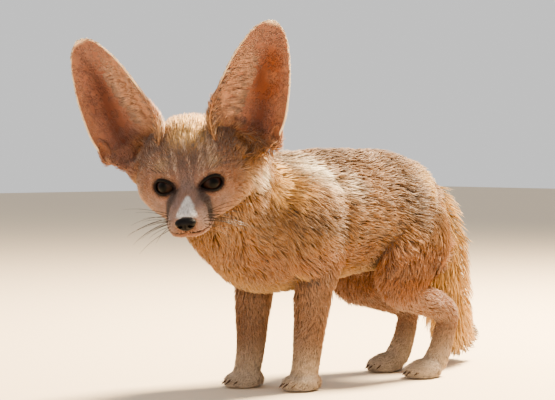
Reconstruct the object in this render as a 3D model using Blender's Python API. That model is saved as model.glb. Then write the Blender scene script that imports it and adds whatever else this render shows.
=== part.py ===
"""Fennec fox, life size, standing with its head turned to its left.

The fox faces -Y, its left side is +X and the floor is Z = 0. Measures are in millimetres in the
tables and are turned to metres when a mesh is made. The body is modelled whole and then parted with
thin cuts, so that each named part meets its neighbour face to face.
"""

import math
import random

import bmesh
import bpy
import numpy as np
from mathutils import Matrix, Vector
from mathutils.bvhtree import BVHTree

MM = 0.001
GAP = 0.3
FAR = 900.0
THINNEST = 4.0
TOUCHING = 0.002
TOUCH_GAP = 0.03

# Driving dimensions, in millimetres
HEAD_TURN = math.radians(47)
HEAD_PITCH = math.radians(20)
HEAD_ROLL = math.radians(5.6)
BETWEEN_EYES = Vector((38.0, -195.0, 168.0))

EYE_OFFSET = Vector((14.4, 2.2, -1.8))
EYE_RADIUS = 10.5
EYE_OUTWARD = math.radians(30)
EYE_UPWARD = math.radians(5)
LID_THICKNESS = 1.2
LID_OPENING = (10.2, 6.6)
LID_SLANT = math.radians(20)

NOSE_CENTRE = Vector((0.0, -46.0, -14.2))
NOSE_HALF = Vector((7.7, 5.2, 5.2))

EAR_BASE = Vector((35.0, 30.0, 19.0))
EAR_TIP = Vector((74.0, 44.0, 106.5))
EAR_OUTWARD = math.radians(13)
EAR_WALL = 2.6

FORE_FEET = {"right": Vector((-24.0, -84.0, 0.0)), "left": Vector((24.0, -64.0, 0.0))}
HIND_FEET = {"right": Vector((-27.0, 77.0, 0.0)), "left": Vector((27.0, 70.0, 0.0))}
SIDES = {"left": 1.0, "right": -1.0}

# How far the locks stand out from the core they are rooted in
TRUNK_COAT = 6.5
TAIL_COAT = 8.5
CHEEK_COAT = 6.0

# Locks: spacing along and across the lie, length, width and thickness
TRUNK_LOCKS = (38.0, 31.0, 57.0, 30.0, 3.4)
TAIL_LOCKS = (33.0, 29.0, 52.0, 27.0, 3.4)
CHEEK_LOCKS = (34.0, 19.0, 3.2)
CHEEK_ROW = 27.0
CHEEK_COUNT = 9
CHEEK_ARC = (172.0, 368.0)
# A lock's four stations: share of its length travelled, of its width, and of the coat's depth
LOCK_TRAVEL = (0.0, 0.30, 0.38, 0.32)
LOCK_WIDTHS = (0.8, 1.0, 0.72, 0.0)
LOCK_HEIGHTS = (0.0, 0.45, 0.95, 0.8)
ROOT_DEPTH = 3.4
LOWEST_TRUNK_LOCK = 96.0
TAIL_LOCKS_FROM = 92.0
# The shortest lock as a share of the full length, and how far one shorter than that stands out
SHORTEST_LOCK = 0.5
HUGGING = 0.3
FLOOR_ROOM = 3.5
SEED = 11

COLOURS = {
    "coat_sand": (0.62, 0.45, 0.30, 1.0),
    "coat_pale": (0.78, 0.68, 0.56, 1.0),
    "ear_skin": (0.60, 0.36, 0.26, 1.0),
    "eye": (0.02, 0.012, 0.008, 1.0),
    "nose": (0.015, 0.012, 0.012, 1.0),
}


def head_matrix():
    """The head's own axes, x to its left, y to its back and z up, with the origin between the eyes."""
    forward = Vector((math.sin(HEAD_TURN), -math.cos(HEAD_TURN), 0))
    left = Vector((math.cos(HEAD_TURN), math.sin(HEAD_TURN), 0))
    nose = forward * math.cos(HEAD_PITCH) - Vector((0, 0, 1)) * math.sin(HEAD_PITCH)
    crown = forward * math.sin(HEAD_PITCH) + Vector((0, 0, 1)) * math.cos(HEAD_PITCH)
    side = left * math.cos(HEAD_ROLL) + crown * math.sin(HEAD_ROLL)
    up = crown * math.cos(HEAD_ROLL) - left * math.sin(HEAD_ROLL)
    axes = Matrix((side, -nose, up)).transposed().to_4x4()
    return Matrix.Translation(BETWEEN_EYES) @ axes


HEAD = head_matrix()


def clear_scene():
    for obj in list(bpy.data.objects):
        bpy.data.objects.remove(obj, do_unlink=True)
    for mesh in list(bpy.data.meshes):
        bpy.data.meshes.remove(mesh)


def material(name):
    made = bpy.data.materials.get(name)
    if made:
        return made
    made = bpy.data.materials.new(name)
    made.use_nodes = True
    shader = made.node_tree.nodes["Principled BSDF"]
    shader.inputs["Base Color"].default_value = COLOURS[name]
    wet = name in ("eye", "nose")
    shader.inputs["Roughness"].default_value = 0.15 if name == "eye" else 0.45 if wet else 0.85
    shader.inputs["Metallic"].default_value = 0.0
    return made


def add_object(name, points, faces, place=None):
    """A mesh object from points in millimetres, moved by place if it is given."""
    mesh = bpy.data.meshes.new(name)
    points = [Vector(p) for p in points]
    if place is not None:
        points = [place @ p for p in points]
    mesh.from_pydata([p * MM for p in points], [], faces)
    mesh.update()
    obj = bpy.data.objects.new(name, mesh)
    bpy.context.scene.collection.objects.link(obj)
    return obj


def smooth_rows(rows, count):
    """Rows read at even steps along a Catmull-Rom curve through the given ones."""
    rows = np.array(rows, float)
    ends = np.vstack([2 * rows[0] - rows[1], rows, 2 * rows[-1] - rows[-2]])
    spans = len(rows) - 1
    found = []
    for at in np.linspace(0, spans, count):
        k = min(int(at), spans - 1)
        t = at - k
        p, q, r, s = ends[k : k + 4]
        found.append(
            0.5 * (2 * q + (r - p) * t + (2 * p - 5 * q + 4 * r - s) * t**2 + (3 * q - p - 3 * r + s) * t**3)
        )
    return np.array(found)


def power_of(value, power):
    return math.copysign(abs(value) ** (2 / power), value)


def tube_faces(rings, sides):
    """Faces of a closed tube whose two poles are its last two points."""
    faces = []
    for k in range(rings - 1):
        for j in range(sides):
            after = (j + 1) % sides
            faces.append((k * sides + j, k * sides + after, (k + 1) * sides + after, (k + 1) * sides + j))
    first, last = rings * sides, rings * sides + 1
    for j in range(sides):
        after = (j + 1) % sides
        faces.append((first, after, j))
        faces.append((last, (rings - 1) * sides + j, (rings - 1) * sides + after))
    return faces


def sections_of(rows, count, up):
    """Cross-sections along a tube: centre, side, over, tangent, half width, height above and below."""
    rows = smooth_rows(rows, count)
    along = np.gradient(rows[:, :3], axis=0)
    found = []
    for row, tangent in zip(rows, along):
        tangent = tangent / np.linalg.norm(tangent)
        side = np.cross(up, tangent)
        side /= np.linalg.norm(side)
        found.append((row[:3], side, np.cross(tangent, side), tangent, row[3], row[4], row[5]))
    return found


def on_outline(section, angle):
    """The point of a cross-section's outline at the angle."""
    centre, side, over, tangent, wide, high, deep = section
    c, s = math.cos(angle), math.sin(angle)
    return centre + side * wide * c + over * (high if s > 0 else deep) * s


def rounded_end(section, sign, share):
    """Two shrinking cross-sections and a pole that round off one end of a tube."""
    centre, side, over, tangent, wide, high, deep = section
    reach = share * (wide + high + deep) / 3
    caps = []
    for turn in (0.45, 0.8):
        shrink = math.cos(turn * math.pi / 2)
        moved = centre + tangent * sign * reach * math.sin(turn * math.pi / 2)
        caps.append((moved, side, over, tangent, wide * shrink, high * shrink, deep * shrink))
    return caps, centre + tangent * sign * reach


def loft(name, rows, rings, sides, up, place=None, round_ends=(0.6, 0.6)):
    """A closed tube through rows of x, y, z, half width, height above and depth below its spine."""
    sections = sections_of(rows, rings, up)
    first, first_pole = rounded_end(sections[0], -1, round_ends[0])
    last, last_pole = rounded_end(sections[-1], 1, round_ends[1])
    sections = first[::-1] + sections + last
    points = [on_outline(each, 2 * math.pi * j / sides) for each in sections for j in range(sides)]
    points += [first_pole, last_pole]
    made = add_object(name, points, tube_faces(len(sections), sides), place)
    face_outwards(made)
    return made


def inset(rows, depth):
    """Rows of a tube with its outline drawn in by the depth of the coat."""
    return [tuple(row[:3]) + tuple(max(THINNEST, reach - depth) for reach in row[3:]) for row in rows]


def face_outwards(obj):
    """Turns a closed mesh's faces outwards, as triangles, which the Boolean keeps flat."""
    mesh = bmesh.new()
    mesh.from_mesh(obj.data)
    bmesh.ops.triangulate(mesh, faces=mesh.faces)
    bmesh.ops.recalc_face_normals(mesh, faces=mesh.faces)
    if mesh.calc_volume(signed=True) < 0:
        bmesh.ops.reverse_faces(mesh, faces=mesh.faces)
    mesh.to_mesh(obj.data)
    mesh.free()


def ellipsoid(name, centre, radii, place=None, turn=None, rings=10, sides=16):
    """A closed ellipsoid, turned about its centre by a rotation matrix if one is given."""
    points = []
    turn = turn or Matrix.Identity(3)
    for k in range(1, rings):
        polar = math.pi * k / rings
        for j in range(sides):
            angle = 2 * math.pi * j / sides
            flat = math.sin(polar)
            points.append(Vector((flat * math.cos(angle), flat * math.sin(angle), math.cos(polar))))
    points += [Vector((0, 0, 1)), Vector((0, 0, -1))]
    scaled = [Vector(centre) + turn @ (p * Vector(radii)) for p in points]
    made = add_object(name, scaled, tube_faces(rings - 1, sides), place)
    face_outwards(made)
    return made


def evaluated(obj):
    """Applies the object's modifiers."""
    graph = bpy.context.evaluated_depsgraph_get()
    mesh = bpy.data.meshes.new_from_object(obj.evaluated_get(graph))
    obj.modifiers.clear()
    obj.data = mesh
    return obj


def combine(obj, others, operation):
    """One Boolean of the object with a collection of closed meshes, which is then removed."""
    group = bpy.data.collections.new("operands")
    bpy.context.scene.collection.children.link(group)
    for other in others:
        bpy.context.scene.collection.objects.unlink(other)
        group.objects.link(other)
    cut = obj.modifiers.new(operation.lower(), "BOOLEAN")
    cut.operation = operation
    cut.operand_type = "COLLECTION"
    cut.collection = group
    cut.solver = "MANIFOLD"
    evaluated(obj)
    for other in others:
        bpy.data.objects.remove(other, do_unlink=True)
    bpy.data.collections.remove(group)
    return obj


def copy_of(obj):
    twin = obj.copy()
    twin.data = obj.data.copy()
    bpy.context.scene.collection.objects.link(twin)
    return twin


def part_touching(mesh):
    """Draws apart walls that touch, by moving the points they share in place into their own walls."""
    mesh.normal_update()
    places = {}
    for vertex in mesh.verts:
        places.setdefault(tuple(round(c / TOUCHING / MM) for c in vertex.co), []).append(vertex)
    for cluster in places.values():
        if len(cluster) > 1:
            for vertex in cluster:
                vertex.co -= vertex.normal * TOUCH_GAP * MM


def keep_largest(obj):
    """Keeps only the largest closed surface of the object, made of triangles.

    Surfaces that only share an edge, where four faces meet, count as separate ones.
    """
    mesh = bmesh.new()
    mesh.from_mesh(obj.data)
    bmesh.ops.triangulate(mesh, faces=mesh.faces)
    unseen, islands = set(mesh.faces), []
    while unseen:
        stack, island = [unseen.pop()], []
        while stack:
            face = stack.pop()
            island.append(face)
            for edge in face.edges:
                near = set(edge.link_faces) & unseen if len(edge.link_faces) == 2 else ()
                unseen.difference_update(near)
                stack += near
        islands.append(island)
    islands.sort(key=lambda island: sum(face.calc_area() for face in island))
    for island in islands[:-1]:
        bmesh.ops.delete(mesh, geom=island, context="FACES")
    bmesh.ops.delete(mesh, geom=[v for v in mesh.verts if not v.link_faces], context="VERTS")
    part_touching(mesh)
    mesh.to_mesh(obj.data)
    mesh.free()
    return obj


def blended(obj, voxel, passes, triangles):
    """Melts joined shapes into one skin of about the given number of triangles."""
    remesh = obj.modifiers.new("melt", "REMESH")
    remesh.mode = "VOXEL"
    remesh.voxel_size = voxel * MM
    smooth = obj.modifiers.new("soften", "SMOOTH")
    smooth.factor = 0.5
    smooth.iterations = passes
    evaluated(obj)
    count = sum(len(p.vertices) - 2 for p in obj.data.polygons)
    decimate = obj.modifiers.new("thin", "DECIMATE")
    decimate.ratio = min(1.0, triangles / count)
    evaluated(obj)
    return obj


# Trunk and neck: spine x, y, z, half width, height above and depth below
TRUNK = [
    (0, 78, 142, 27, 36, 36),
    (0, 62, 143, 38, 46, 45),
    (0, 38, 141, 42, 54, 50),
    (0, 6, 139, 43, 57, 51),
    (0, -30, 138, 44, 58, 56),
    (0, -62, 138, 45, 56, 61),
    (0, -88, 142, 43, 52, 66),
    (1, -108, 150, 39, 45, 63),
    (4, -128, 160, 40, 43, 57),
    (9, -144, 171, 43, 45, 50),
    (14, -157, 179, 44, 46, 43),
]
SHOULDER = (31.0, -68.0, 133.0, 17.0, 28.0, 40.0)

# Tail: spine x, y, z, half width, above and below
TAIL = [
    (0, 70, 160, 12, 12, 12),
    (-2, 92, 157, 14, 14, 14),
    (-5, 112, 142, 17, 17, 17),
    (-9, 124, 114, 20, 20, 20),
    (-13, 131, 83, 22, 22, 22),
    (-19, 139, 54, 23, 23, 23),
    (-28, 152, 35, 22, 22, 22),
    (-40, 170, 26, 20, 20, 20),
    (-51, 186, 22, 15, 15, 15),
]

# Legs: offset from the foot sideways and along, height, half width and half depth
FORE_LEG = [
    (0, 8, 128, 18, 24),
    (0, 8, 104, 17, 21),
    (1, 5, 84, 15.5, 17),
    (1, 2, 60, 14, 14.5),
    (0, 0, 40, 12.8, 13.2),
    (0, -2, 24, 12, 12.4),
    (0, -5, 12, 11.5, 12),
]
HIND_LEG = [
    (-3, -8, 142, 14, 26),
    (1, -17, 122, 18, 34),
    (6, -34, 98, 17, 29),
    (7, -41, 82, 14.5, 20),
    (5, -20, 70, 12, 15),
    (3, 5, 61, 10.5, 12.5),
    (1, 19, 52, 9.8, 11.5),
    (0, 17, 36, 9.8, 10.5),
    (0, 12, 22, 10.5, 11),
    (0, 6, 12, 11, 12),
]


def leg_rows(rows, foot):
    side = math.copysign(1, foot.x)
    return [(foot.x + side * x, foot.y + y, z, wide, deep, deep) for x, y, z, wide, deep in rows]


def paw(name, foot, length):
    """Palm and four toes, with claws, ready to be joined to a leg."""
    middle = foot + Vector((0, -4, 7.5))
    pieces = [ellipsoid(name + "_palm", middle, (12.2, length * 0.5, 9.5), rings=6, sides=10)]
    for place, ahead in ((-1.5, -0.0), (-0.5, -5.0), (0.5, -5.0), (1.5, -0.0)):
        toe = foot + Vector((place * 6.1, ahead - length * 0.42, 5.6))
        turn = Matrix.Rotation(-place * 0.12, 3, "Z")
        pieces.append(ellipsoid(name + "_toe", toe, (4.4, 9.7, 6.6), turn=turn, rings=4, sides=6))
        claw = toe + turn @ Vector((0, -10.2, -0.6))
        pieces.append(ellipsoid(name + "_claw", claw, (1.0, 4.2, 1.4), turn=turn, rings=3, sides=4))
    return pieces


# Head sections: y back from the eyes, half width, height of the widest place, top and bottom
HEAD_ROWS = [
    (-43.5, 7.5, -17, -9.8, -24.0),
    (-39, 11.0, -18, -7.6, -27.0),
    (-31, 14.6, -18.5, -5.0, -29.5),
    (-21, 16.6, -18, -2.0, -31.0),
    (-12, 20.5, -15, 3.5, -32.5),
    (-3, 28.5, -11, 12.5, -33.5),
    (7, 36.5, -9, 22.5, -34.5),
    (18, 42.0, -7, 32.0, -35.5),
    (31, 44.5, -5, 39.5, -36.0),
    (45, 41.5, -3, 39.0, -34.0),
    (57, 32.0, 0, 31.0, -26.0),
    (65, 20.0, 2, 21.0, -16.0),
]


def head_loft(rings, sides):
    """The head without its ears, eyes and nose pad, with short fur included."""
    rows = smooth_rows(HEAD_ROWS, rings)
    points = []
    for y, wide, middle, top, bottom in rows:
        for j in range(sides):
            angle = 2 * math.pi * (j + 0.5) / sides
            c, s = power_of(math.cos(angle), 2.15), power_of(math.sin(angle), 2.15)
            points.append(Vector((wide * c, y, middle + (top - middle if s > 0 else middle - bottom) * s)))
    y, wide, middle, top, bottom = rows[0]
    points.append(Vector((0, y - 1.2, (top + bottom) / 2)))
    y, wide, middle, top, bottom = rows[-1]
    points.append(Vector((0, y + 4, (top + bottom) / 2)))
    relieved = [p + face_relief(p) for p in points]
    made = add_object("head", relieved, tube_faces(rings, sides), HEAD)
    face_outwards(made)
    return made


def bump(point, centre, reach, height):
    """How far a soft round rise at the centre lifts the point."""
    away = sum(((p - c) / r) ** 2 for p, c, r in zip(point, centre, reach))
    return height * math.exp(-away)


def face_relief(point):
    """Brow, cheek bone, whisker pad and the shallow furrow of the forehead, as a shift of the point."""
    across = math.copysign(1, point.x)
    mirrored = Vector((abs(point.x), point.y, point.z))
    shift = Vector((0, 0, 0))
    brow = bump(mirrored, (19, -3, 11), (9, 8, 6), 2.6)
    shift += Vector((0.2 * across, -0.7, 0.6)) * brow
    pad = bump(mirrored, (12, -35, -20), (7, 8, 6), 1.6)
    shift += Vector((0.9 * across, -0.4, 0)) * pad
    hollow = bump(mirrored, (17, -10, -6), (7, 7, 6), 1.8)
    shift += Vector((-0.3 * across, 0.8, 0)) * hollow
    furrow = bump(mirrored, (0, 2, 17), (5, 14, 8), 1.4)
    shift += Vector((0, 0.5, -0.8)) * furrow
    cheek = bump(mirrored, (38, 14, -8), (12, 14, 12), 2.0)
    shift += Vector((0.9 * across, -0.4, -0.1)) * cheek
    return shift


def eye_axes(across):
    """Origin at the eyeball's centre, z out through the pupil and x towards the inner corner."""
    outward = Matrix.Rotation(across * EYE_OUTWARD, 3, "Z") @ Vector((0, -1, 0))
    gaze = (outward * math.cos(EYE_UPWARD) + Vector((0, 0, math.sin(EYE_UPWARD)))).normalized()
    inner = Vector((-across, 0, 0))
    inner = (inner - gaze * inner.dot(gaze)).normalized()
    over = gaze.cross(inner)
    slant = Matrix.Rotation(-LID_SLANT if over.z > 0 else LID_SLANT, 3, gaze)
    inner = slant @ inner
    over = gaze.cross(inner)
    centre = Vector((across * EYE_OFFSET.x, EYE_OFFSET.y, EYE_OFFSET.z))
    return Matrix.Translation(centre) @ Matrix((inner, over, gaze)).transposed().to_4x4()


def lid_outline(count):
    """An almond that is pointed at its inner corner, as x and y."""
    wide, high = LID_OPENING
    outline = []
    for j in range(count):
        angle = 2 * math.pi * j / count
        x = math.cos(angle)
        narrow = 1 - 0.34 * max(0.0, x) ** 2
        outline.append((x * wide * (1.22 if x > 0 else 1.0) ** max(0, x), math.sin(angle) * high * narrow))
    return outline


def lid_cutter(across):
    """A tapered almond prism that opens the lids."""
    outline = lid_outline(18)
    points = [Vector((x * 0.75, y * 0.75, 2.5)) for x, y in outline]
    points += [Vector((x * 1.12, y * 1.12, 14)) for x, y in outline]
    count = len(outline)
    faces = [tuple(range(count))[::-1], tuple(range(count, 2 * count))]
    faces += [(j, (j + 1) % count, count + (j + 1) % count, count + j) for j in range(count)]
    made = add_object("lid_opening", points, faces, HEAD @ eye_axes(across))
    face_outwards(made)
    return made


def ear_axes(across):
    """Origin at the ear's base, z to its tip, y to its back and x outwards from the crown."""
    base = Vector((across * EAR_BASE.x, EAR_BASE.y, EAR_BASE.z))
    tip = Vector((across * EAR_TIP.x, EAR_TIP.y, EAR_TIP.z))
    along = (tip - base).normalized()
    back = Matrix.Rotation(across * EAR_OUTWARD, 3, "Z") @ Vector((0, 1, 0))
    back = (back - along * back.dot(along)).normalized()
    out = back.cross(along)
    if out.x * across < 0:
        out = -out
    return Matrix.Translation(base) @ Matrix((out, back, along)).transposed().to_4x4()


EAR_LENGTH = (EAR_TIP - EAR_BASE).length
# Ear: share of its length, half width towards the crown, half width outwards, depth of the cup
# and how far round the wall curls, in degrees from its middle
EAR_ROWS = [
    (-0.10, 22, 22.5, 20, 120),
    (0.02, 24.5, 25, 21, 116),
    (0.14, 26.5, 28.5, 20, 104),
    (0.28, 27.5, 30, 17.5, 90),
    (0.42, 26.5, 28.5, 14, 80),
    (0.56, 24.5, 26, 11, 73),
    (0.70, 21.5, 22, 8, 68),
    (0.82, 17.5, 17.5, 5.6, 64),
    (0.92, 12.5, 12, 3.4, 60),
    (0.98, 6.5, 6.0, 1.8, 60),
    (1.0, 1.6, 1.6, 1.2, 60),
]
# Ear root: share of the ear's length, half width towards the crown and outwards, and half depth
EAR_ROOT = [
    (-0.55, 12, 11, 12),
    (-0.38, 19, 17, 17),
    (-0.22, 22, 21.5, 19.5),
    (-0.10, 23.5, 23, 20.5),
    (-0.02, 24.5, 25, 21),
]


def ear_surface(steps, across_steps):
    """The ear's middle surface and its normals, as a grid from base to tip and from crown side out."""
    rows = smooth_rows(EAR_ROWS, steps)
    grid = np.zeros((steps, across_steps, 3))
    for k, (share, inner, outer, deep, curl) in enumerate(rows):
        curl = math.radians(curl)
        for j, t in enumerate(np.linspace(-1, 1, across_steps)):
            wide = outer if t > 0 else inner
            reach = math.sin(t * curl) / (math.sin(curl) if curl < math.pi / 2 else 1)
            back = deep * ((math.cos(t * curl) - math.cos(curl)) / (1 - math.cos(curl)) - 0.5)
            grid[k, j] = (wide * reach, back, share * EAR_LENGTH)
    along = np.gradient(grid, axis=0)
    sideways = np.gradient(grid, axis=1)
    normals = np.cross(along, sideways)
    normals /= np.linalg.norm(normals, axis=2)[:, :, None] + 1e-9
    if normals[steps // 2, across_steps // 2, 1] < 0:
        normals = -normals
    return grid, normals, rows[:, 0]


def ear_shell(side, steps, across_steps):
    """The ear's thin wall, thinner towards its rim and tip."""
    across = SIDES[side]
    grid, normals, shares = ear_surface(steps, across_steps)
    t = np.linspace(-1, 1, across_steps)
    wall = EAR_WALL * (1 - 0.35 * np.clip(shares, 0, 1))[:, None] * (1 - 0.30 * np.abs(t) ** 4)[None, :]
    behind = (grid + normals * wall[:, :, None] / 2).reshape(-1, 3)
    front = (grid - normals * wall[:, :, None] / 2).reshape(-1, 3)
    points = np.vstack([behind, front])
    count = steps * across_steps
    faces = []
    for k in range(steps - 1):
        for j in range(across_steps - 1):
            a, b = k * across_steps + j, k * across_steps + j + 1
            c, d = (k + 1) * across_steps + j + 1, (k + 1) * across_steps + j
            faces += [(a, b, c), (a, c, d)]
            faces += [(count + a, count + c, count + b), (count + a, count + d, count + c)]
    rim = [k * across_steps for k in range(steps)]
    rim += [(steps - 1) * across_steps + j for j in range(1, across_steps)]
    rim += [k * across_steps + across_steps - 1 for k in range(steps - 2, -1, -1)]
    rim += list(range(across_steps - 2, 0, -1))
    for a, b in zip(rim, rim[1:] + rim[:1]):
        faces.append((a, b, count + b, count + a))
    made = add_object("ear_shell", points, faces, HEAD @ ear_axes(across))
    face_outwards(made)
    return made


def ear_canal(side):
    """The funnel that leads down from the cup into the head."""
    axes = HEAD @ ear_axes(SIDES[side])
    return ellipsoid("canal", (4, 1.0, -0.04 * EAR_LENGTH), (11, 9, 14), axes, rings=5, sides=8)


def ear_pouch(side, size):
    """The small fold of skin low on the outer rim."""
    axes = HEAD @ ear_axes(SIDES[side])
    turn = Matrix.Rotation(math.radians(-8), 3, "Y")
    return ellipsoid("pouch", (28.5, -3.5, 0.13 * EAR_LENGTH), size, axes, turn, rings=6, sides=8)


def ear_root(side):
    """The broad fleshy base that carries the ear's cup."""
    rows = [(outer / 2 - inner / 2, 0, share * EAR_LENGTH, (outer + inner) / 2, deep, deep)
            for share, inner, outer, deep in EAR_ROOT]
    place = HEAD @ ear_axes(SIDES[side])
    return loft("ear_root", rows, 7, 18, (0, 1, 0), place, round_ends=(0.6, 0.1))


def mouth_rows(outset):
    """The line between the lips, from one corner round the muzzle to the other."""
    half = [
        (17.8, -12, -21.5), (17.2, -21, -23.2), (15.4, -30, -24.0), (11.6, -38.5, -23.8), (6.4, -43.0, -23.0),
    ]
    points = [(x + outset, y, z) for x, y, z in half] + [(0, -44.6 - outset, -22.2)]
    points += [(-x - outset, y, z) for x, y, z in half[::-1]]
    return points


def mouth_groove():
    rows = [(x, y, z, 1.5, 0.6, 0.6) for x, y, z in mouth_rows(0.0)]
    return loft("mouth", rows, 13, 4, (0, 0, 1), HEAD)


def lips():
    upper = [(x, y, z + 1.5, 1.4, 1.5, 1.5) for x, y, z in mouth_rows(-1.3)]
    lower = [(x, y, z - 1.5, 1.2, 1.2, 1.2) for x, y, z in mouth_rows(-1.7)]
    return [loft("upper_lip", upper, 9, 4, (0, 0, 1), HEAD), loft("lower_lip", lower, 9, 4, (0, 0, 1), HEAD)]


def wedge(obj, depth):
    """Widens the top of a nose shape, flattens it there and draws in its foot."""
    place = HEAD @ Matrix.Translation(NOSE_CENTRE)
    back = place.inverted()
    for vertex in obj.data.vertices:
        point = back @ (vertex.co / MM)
        point.x *= 1 + 0.20 * point.z / depth
        if point.z > 0:
            point.z *= 0.86
        vertex.co = (place @ point) * MM
    return obj


def make_nose():
    """The nose pad, with its nostrils and the groove that runs down to the lip."""
    pad = wedge(ellipsoid("nose", NOSE_CENTRE, NOSE_HALF, HEAD, rings=8, sides=14), NOSE_HALF.z)
    cutters = []
    for across in (1, -1):
        centre = NOSE_CENTRE + Vector((across * 3.7, -4.6, -0.6))
        turn = Matrix.Rotation(across * 0.5, 3, "Y")
        cutters.append(ellipsoid("nostril", centre, (2.0, 2.6, 1.2), HEAD, turn, rings=4, sides=6))
        slit = NOSE_CENTRE + Vector((across * 6.0, -3.2, -1.6))
        cutters.append(ellipsoid("slit", slit, (2.2, 2.4, 0.6), HEAD, turn, rings=4, sides=6))
    groove = NOSE_CENTRE + Vector((0, -5.6, -3.0))
    cutters.append(ellipsoid("groove", groove, (0.5, 1.4, 4.5), HEAD, rings=4, sides=6))
    return combine(pad, cutters, "DIFFERENCE")


def nose_bed():
    """Room behind and round the nose pad."""
    reach = NOSE_HALF + Vector((1, 1, 1)) * 1.6 * GAP
    return wedge(ellipsoid("nose_bed", NOSE_CENTRE, reach, HEAD, rings=8, sides=14), reach.z)


def make_head():
    """The head with its lids, lips and ears, and with room for the eyes and nose."""
    head = head_loft(24, 36)
    combine(head, [ear_root(side) for side in SIDES], "UNION")
    blended(head, 1.8, 4, 1300)
    added, cut = lips() + cheek_locks(head), [mouth_groove(), nose_bed()]
    for side, across in SIDES.items():
        axes = HEAD @ eye_axes(across)
        lid, socket = EYE_RADIUS + GAP + LID_THICKNESS, EYE_RADIUS + GAP
        added.append(ellipsoid("lids", (0, 0, 0), (lid,) * 3, axes, rings=9, sides=14))
        added.append(ear_shell(side, 12, 10))
        added.append(ear_pouch(side, (5.0, 4.5, 10.5)))
        cut.append(ellipsoid("socket", (0, 0, 0), (socket,) * 3, axes, rings=8, sides=12))
        cut.append(lid_cutter(across))
        cut.append(ear_canal(side))
        pocket = ear_pouch(side, (3.2, 4.5, 8.2))
        pocket.data.transform(Matrix.Translation(HEAD.to_3x3() @ Vector((0, -3.0, 1.0)) * MM))
        cut.append(pocket)
    combine(head, added, "UNION")
    return combine(head, cut, "DIFFERENCE")


def make_eye(side):
    axes = HEAD @ eye_axes(SIDES[side])
    return ellipsoid("eye_" + side, (0, 0, 0), (EYE_RADIUS,) * 3, axes, rings=8, sides=12)


def surface_tree(obj):
    """The object's surface in millimetres, for finding the nearest point of it."""
    points = [v.co / MM for v in obj.data.vertices]
    return BVHTree.FromPolygons(points, [tuple(p.vertices) for p in obj.data.polygons])


def creep(tree, place, normal, heading, distance):
    """Moves a point along the surface, with the direction bending to follow it."""
    heading = (heading - normal * heading.dot(normal)).normalized()
    place, normal = tree.find_nearest(place + heading * distance)[:2]
    return place, normal, heading


def room_before_border(tree, place, normal, heading, length):
    """The share of a lock's length before the surface ends or another part begins."""
    home = part_at(place)
    steps = 10
    for step in range(steps):
        before = place
        place, normal, heading = creep(tree, place, normal, heading, length / steps)
        if part_at(place) != home or (place - before).length < 0.4 * length / steps:
            return (step + 0.5) / steps
    return 1.0


def lock(tree, root, heading, reach, size, stray):
    """One flat, tapered lock that is rooted in the surface and bends along it.

    The root is a point near the surface, the heading the way the hair lies there and the reach how far
    the tips stand out. A lock ends before the border of its part, or hugs the surface if it can't.
    """
    length, width, thickness = size
    place, normal = tree.find_nearest(root)[:2]
    heading = heading + stray * normal.cross(heading)
    room = room_before_border(tree, place, normal, heading, length)
    if room < SHORTEST_LOCK:
        reach *= HUGGING
    length *= max(room, SHORTEST_LOCK)
    points = []
    for height, share, step in zip(LOCK_HEIGHTS, LOCK_WIDTHS, LOCK_TRAVEL):
        place, normal, heading = creep(tree, place, normal, heading, step * length)
        above = height * reach - 0.5 * thickness - (0 if height else ROOT_DEPTH)
        centre = place + normal * above
        centre.z = max(centre.z, FLOOR_ROOM)
        across = heading.cross(normal).normalized() * 0.5 * width * share
        over = normal * thickness * (0.35 + 0.65 * share)
        points += [centre + across, centre + over, centre - across] if share else [centre + over]
    points.insert(-1, (points[0] + points[2]) / 2 - over)
    made = add_object("lock", points, tube_faces(3, 3))
    face_outwards(made)
    return made


def part_at(point):
    """The name of the part that the point belongs to."""
    for name, planes in REGIONS.items():
        if all((point - on).dot(normal) < 0 for on, normal in planes):
            return name
    return "torso"


def spread(rows, up, spacing, span):
    """Even roots on a tube's outline with the way along it, every other row shifted by half a lock."""
    sections = sections_of(rows, 121, up)
    steps = np.linalg.norm(np.diff([each[0] for each in sections], axis=0), axis=1)
    gone = np.concatenate([[0], np.cumsum(steps)])
    for row, at in enumerate(np.arange(gone[-1] * span[0], gone[-1] * span[1], spacing[0])):
        section = sections[int(np.searchsorted(gone, at))]
        girth = 2 * math.pi * math.sqrt((section[4] ** 2 + ((section[5] + section[6]) / 2) ** 2) / 2)
        count = max(4, round(girth / spacing[1]))
        for j in range(count):
            root = Vector(on_outline(section, 2 * math.pi * (j + 0.5 * (row % 2)) / count))
            yield root, Vector(section[3])


def trunk_lie(normal, along):
    """Hair runs back along the trunk, falls a little on the flanks and hangs on the breast."""
    front = max(0.0, -normal.y)
    return Vector((0, 1 - 0.8 * front, -0.30 * (1 - abs(normal.z)) - 1.3 * front))


def tail_lie(normal, along):
    return along


def on_trunk(place):
    """The back, flanks, breast and neck, whose fur is long enough for locks."""
    hind = part_at(place).startswith(("hind", "tail"))
    return not hind and place.z > LOWEST_TRUNK_LOCK + 0.12 * abs(place.y + 30)


def on_tail(place):
    return part_at(place).startswith("tail") and place.y > TAIL_LOCKS_FROM


def coat_of(core, rows, up, coat, sizes, lie, draw, span, wanted):
    """All the locks that grow on one tube's stretch of the core."""
    tree = surface_tree(core)
    grown = []
    for root, along in spread(rows, up, sizes[:2], span):
        place, normal, _, away = tree.find_nearest(root)
        if away > 2.2 * coat or not wanted(place):
            continue
        reach = min(max(away, 0.55 * coat), 1.5 * coat) * draw.uniform(0.92, 1.12)
        size = (sizes[2] * draw.uniform(0.85, 1.15), sizes[3] * draw.uniform(0.88, 1.15), sizes[4])
        grown.append(lock(tree, root, lie(normal, along), reach, size, draw.uniform(-0.2, 0.2)))
    return grown


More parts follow.
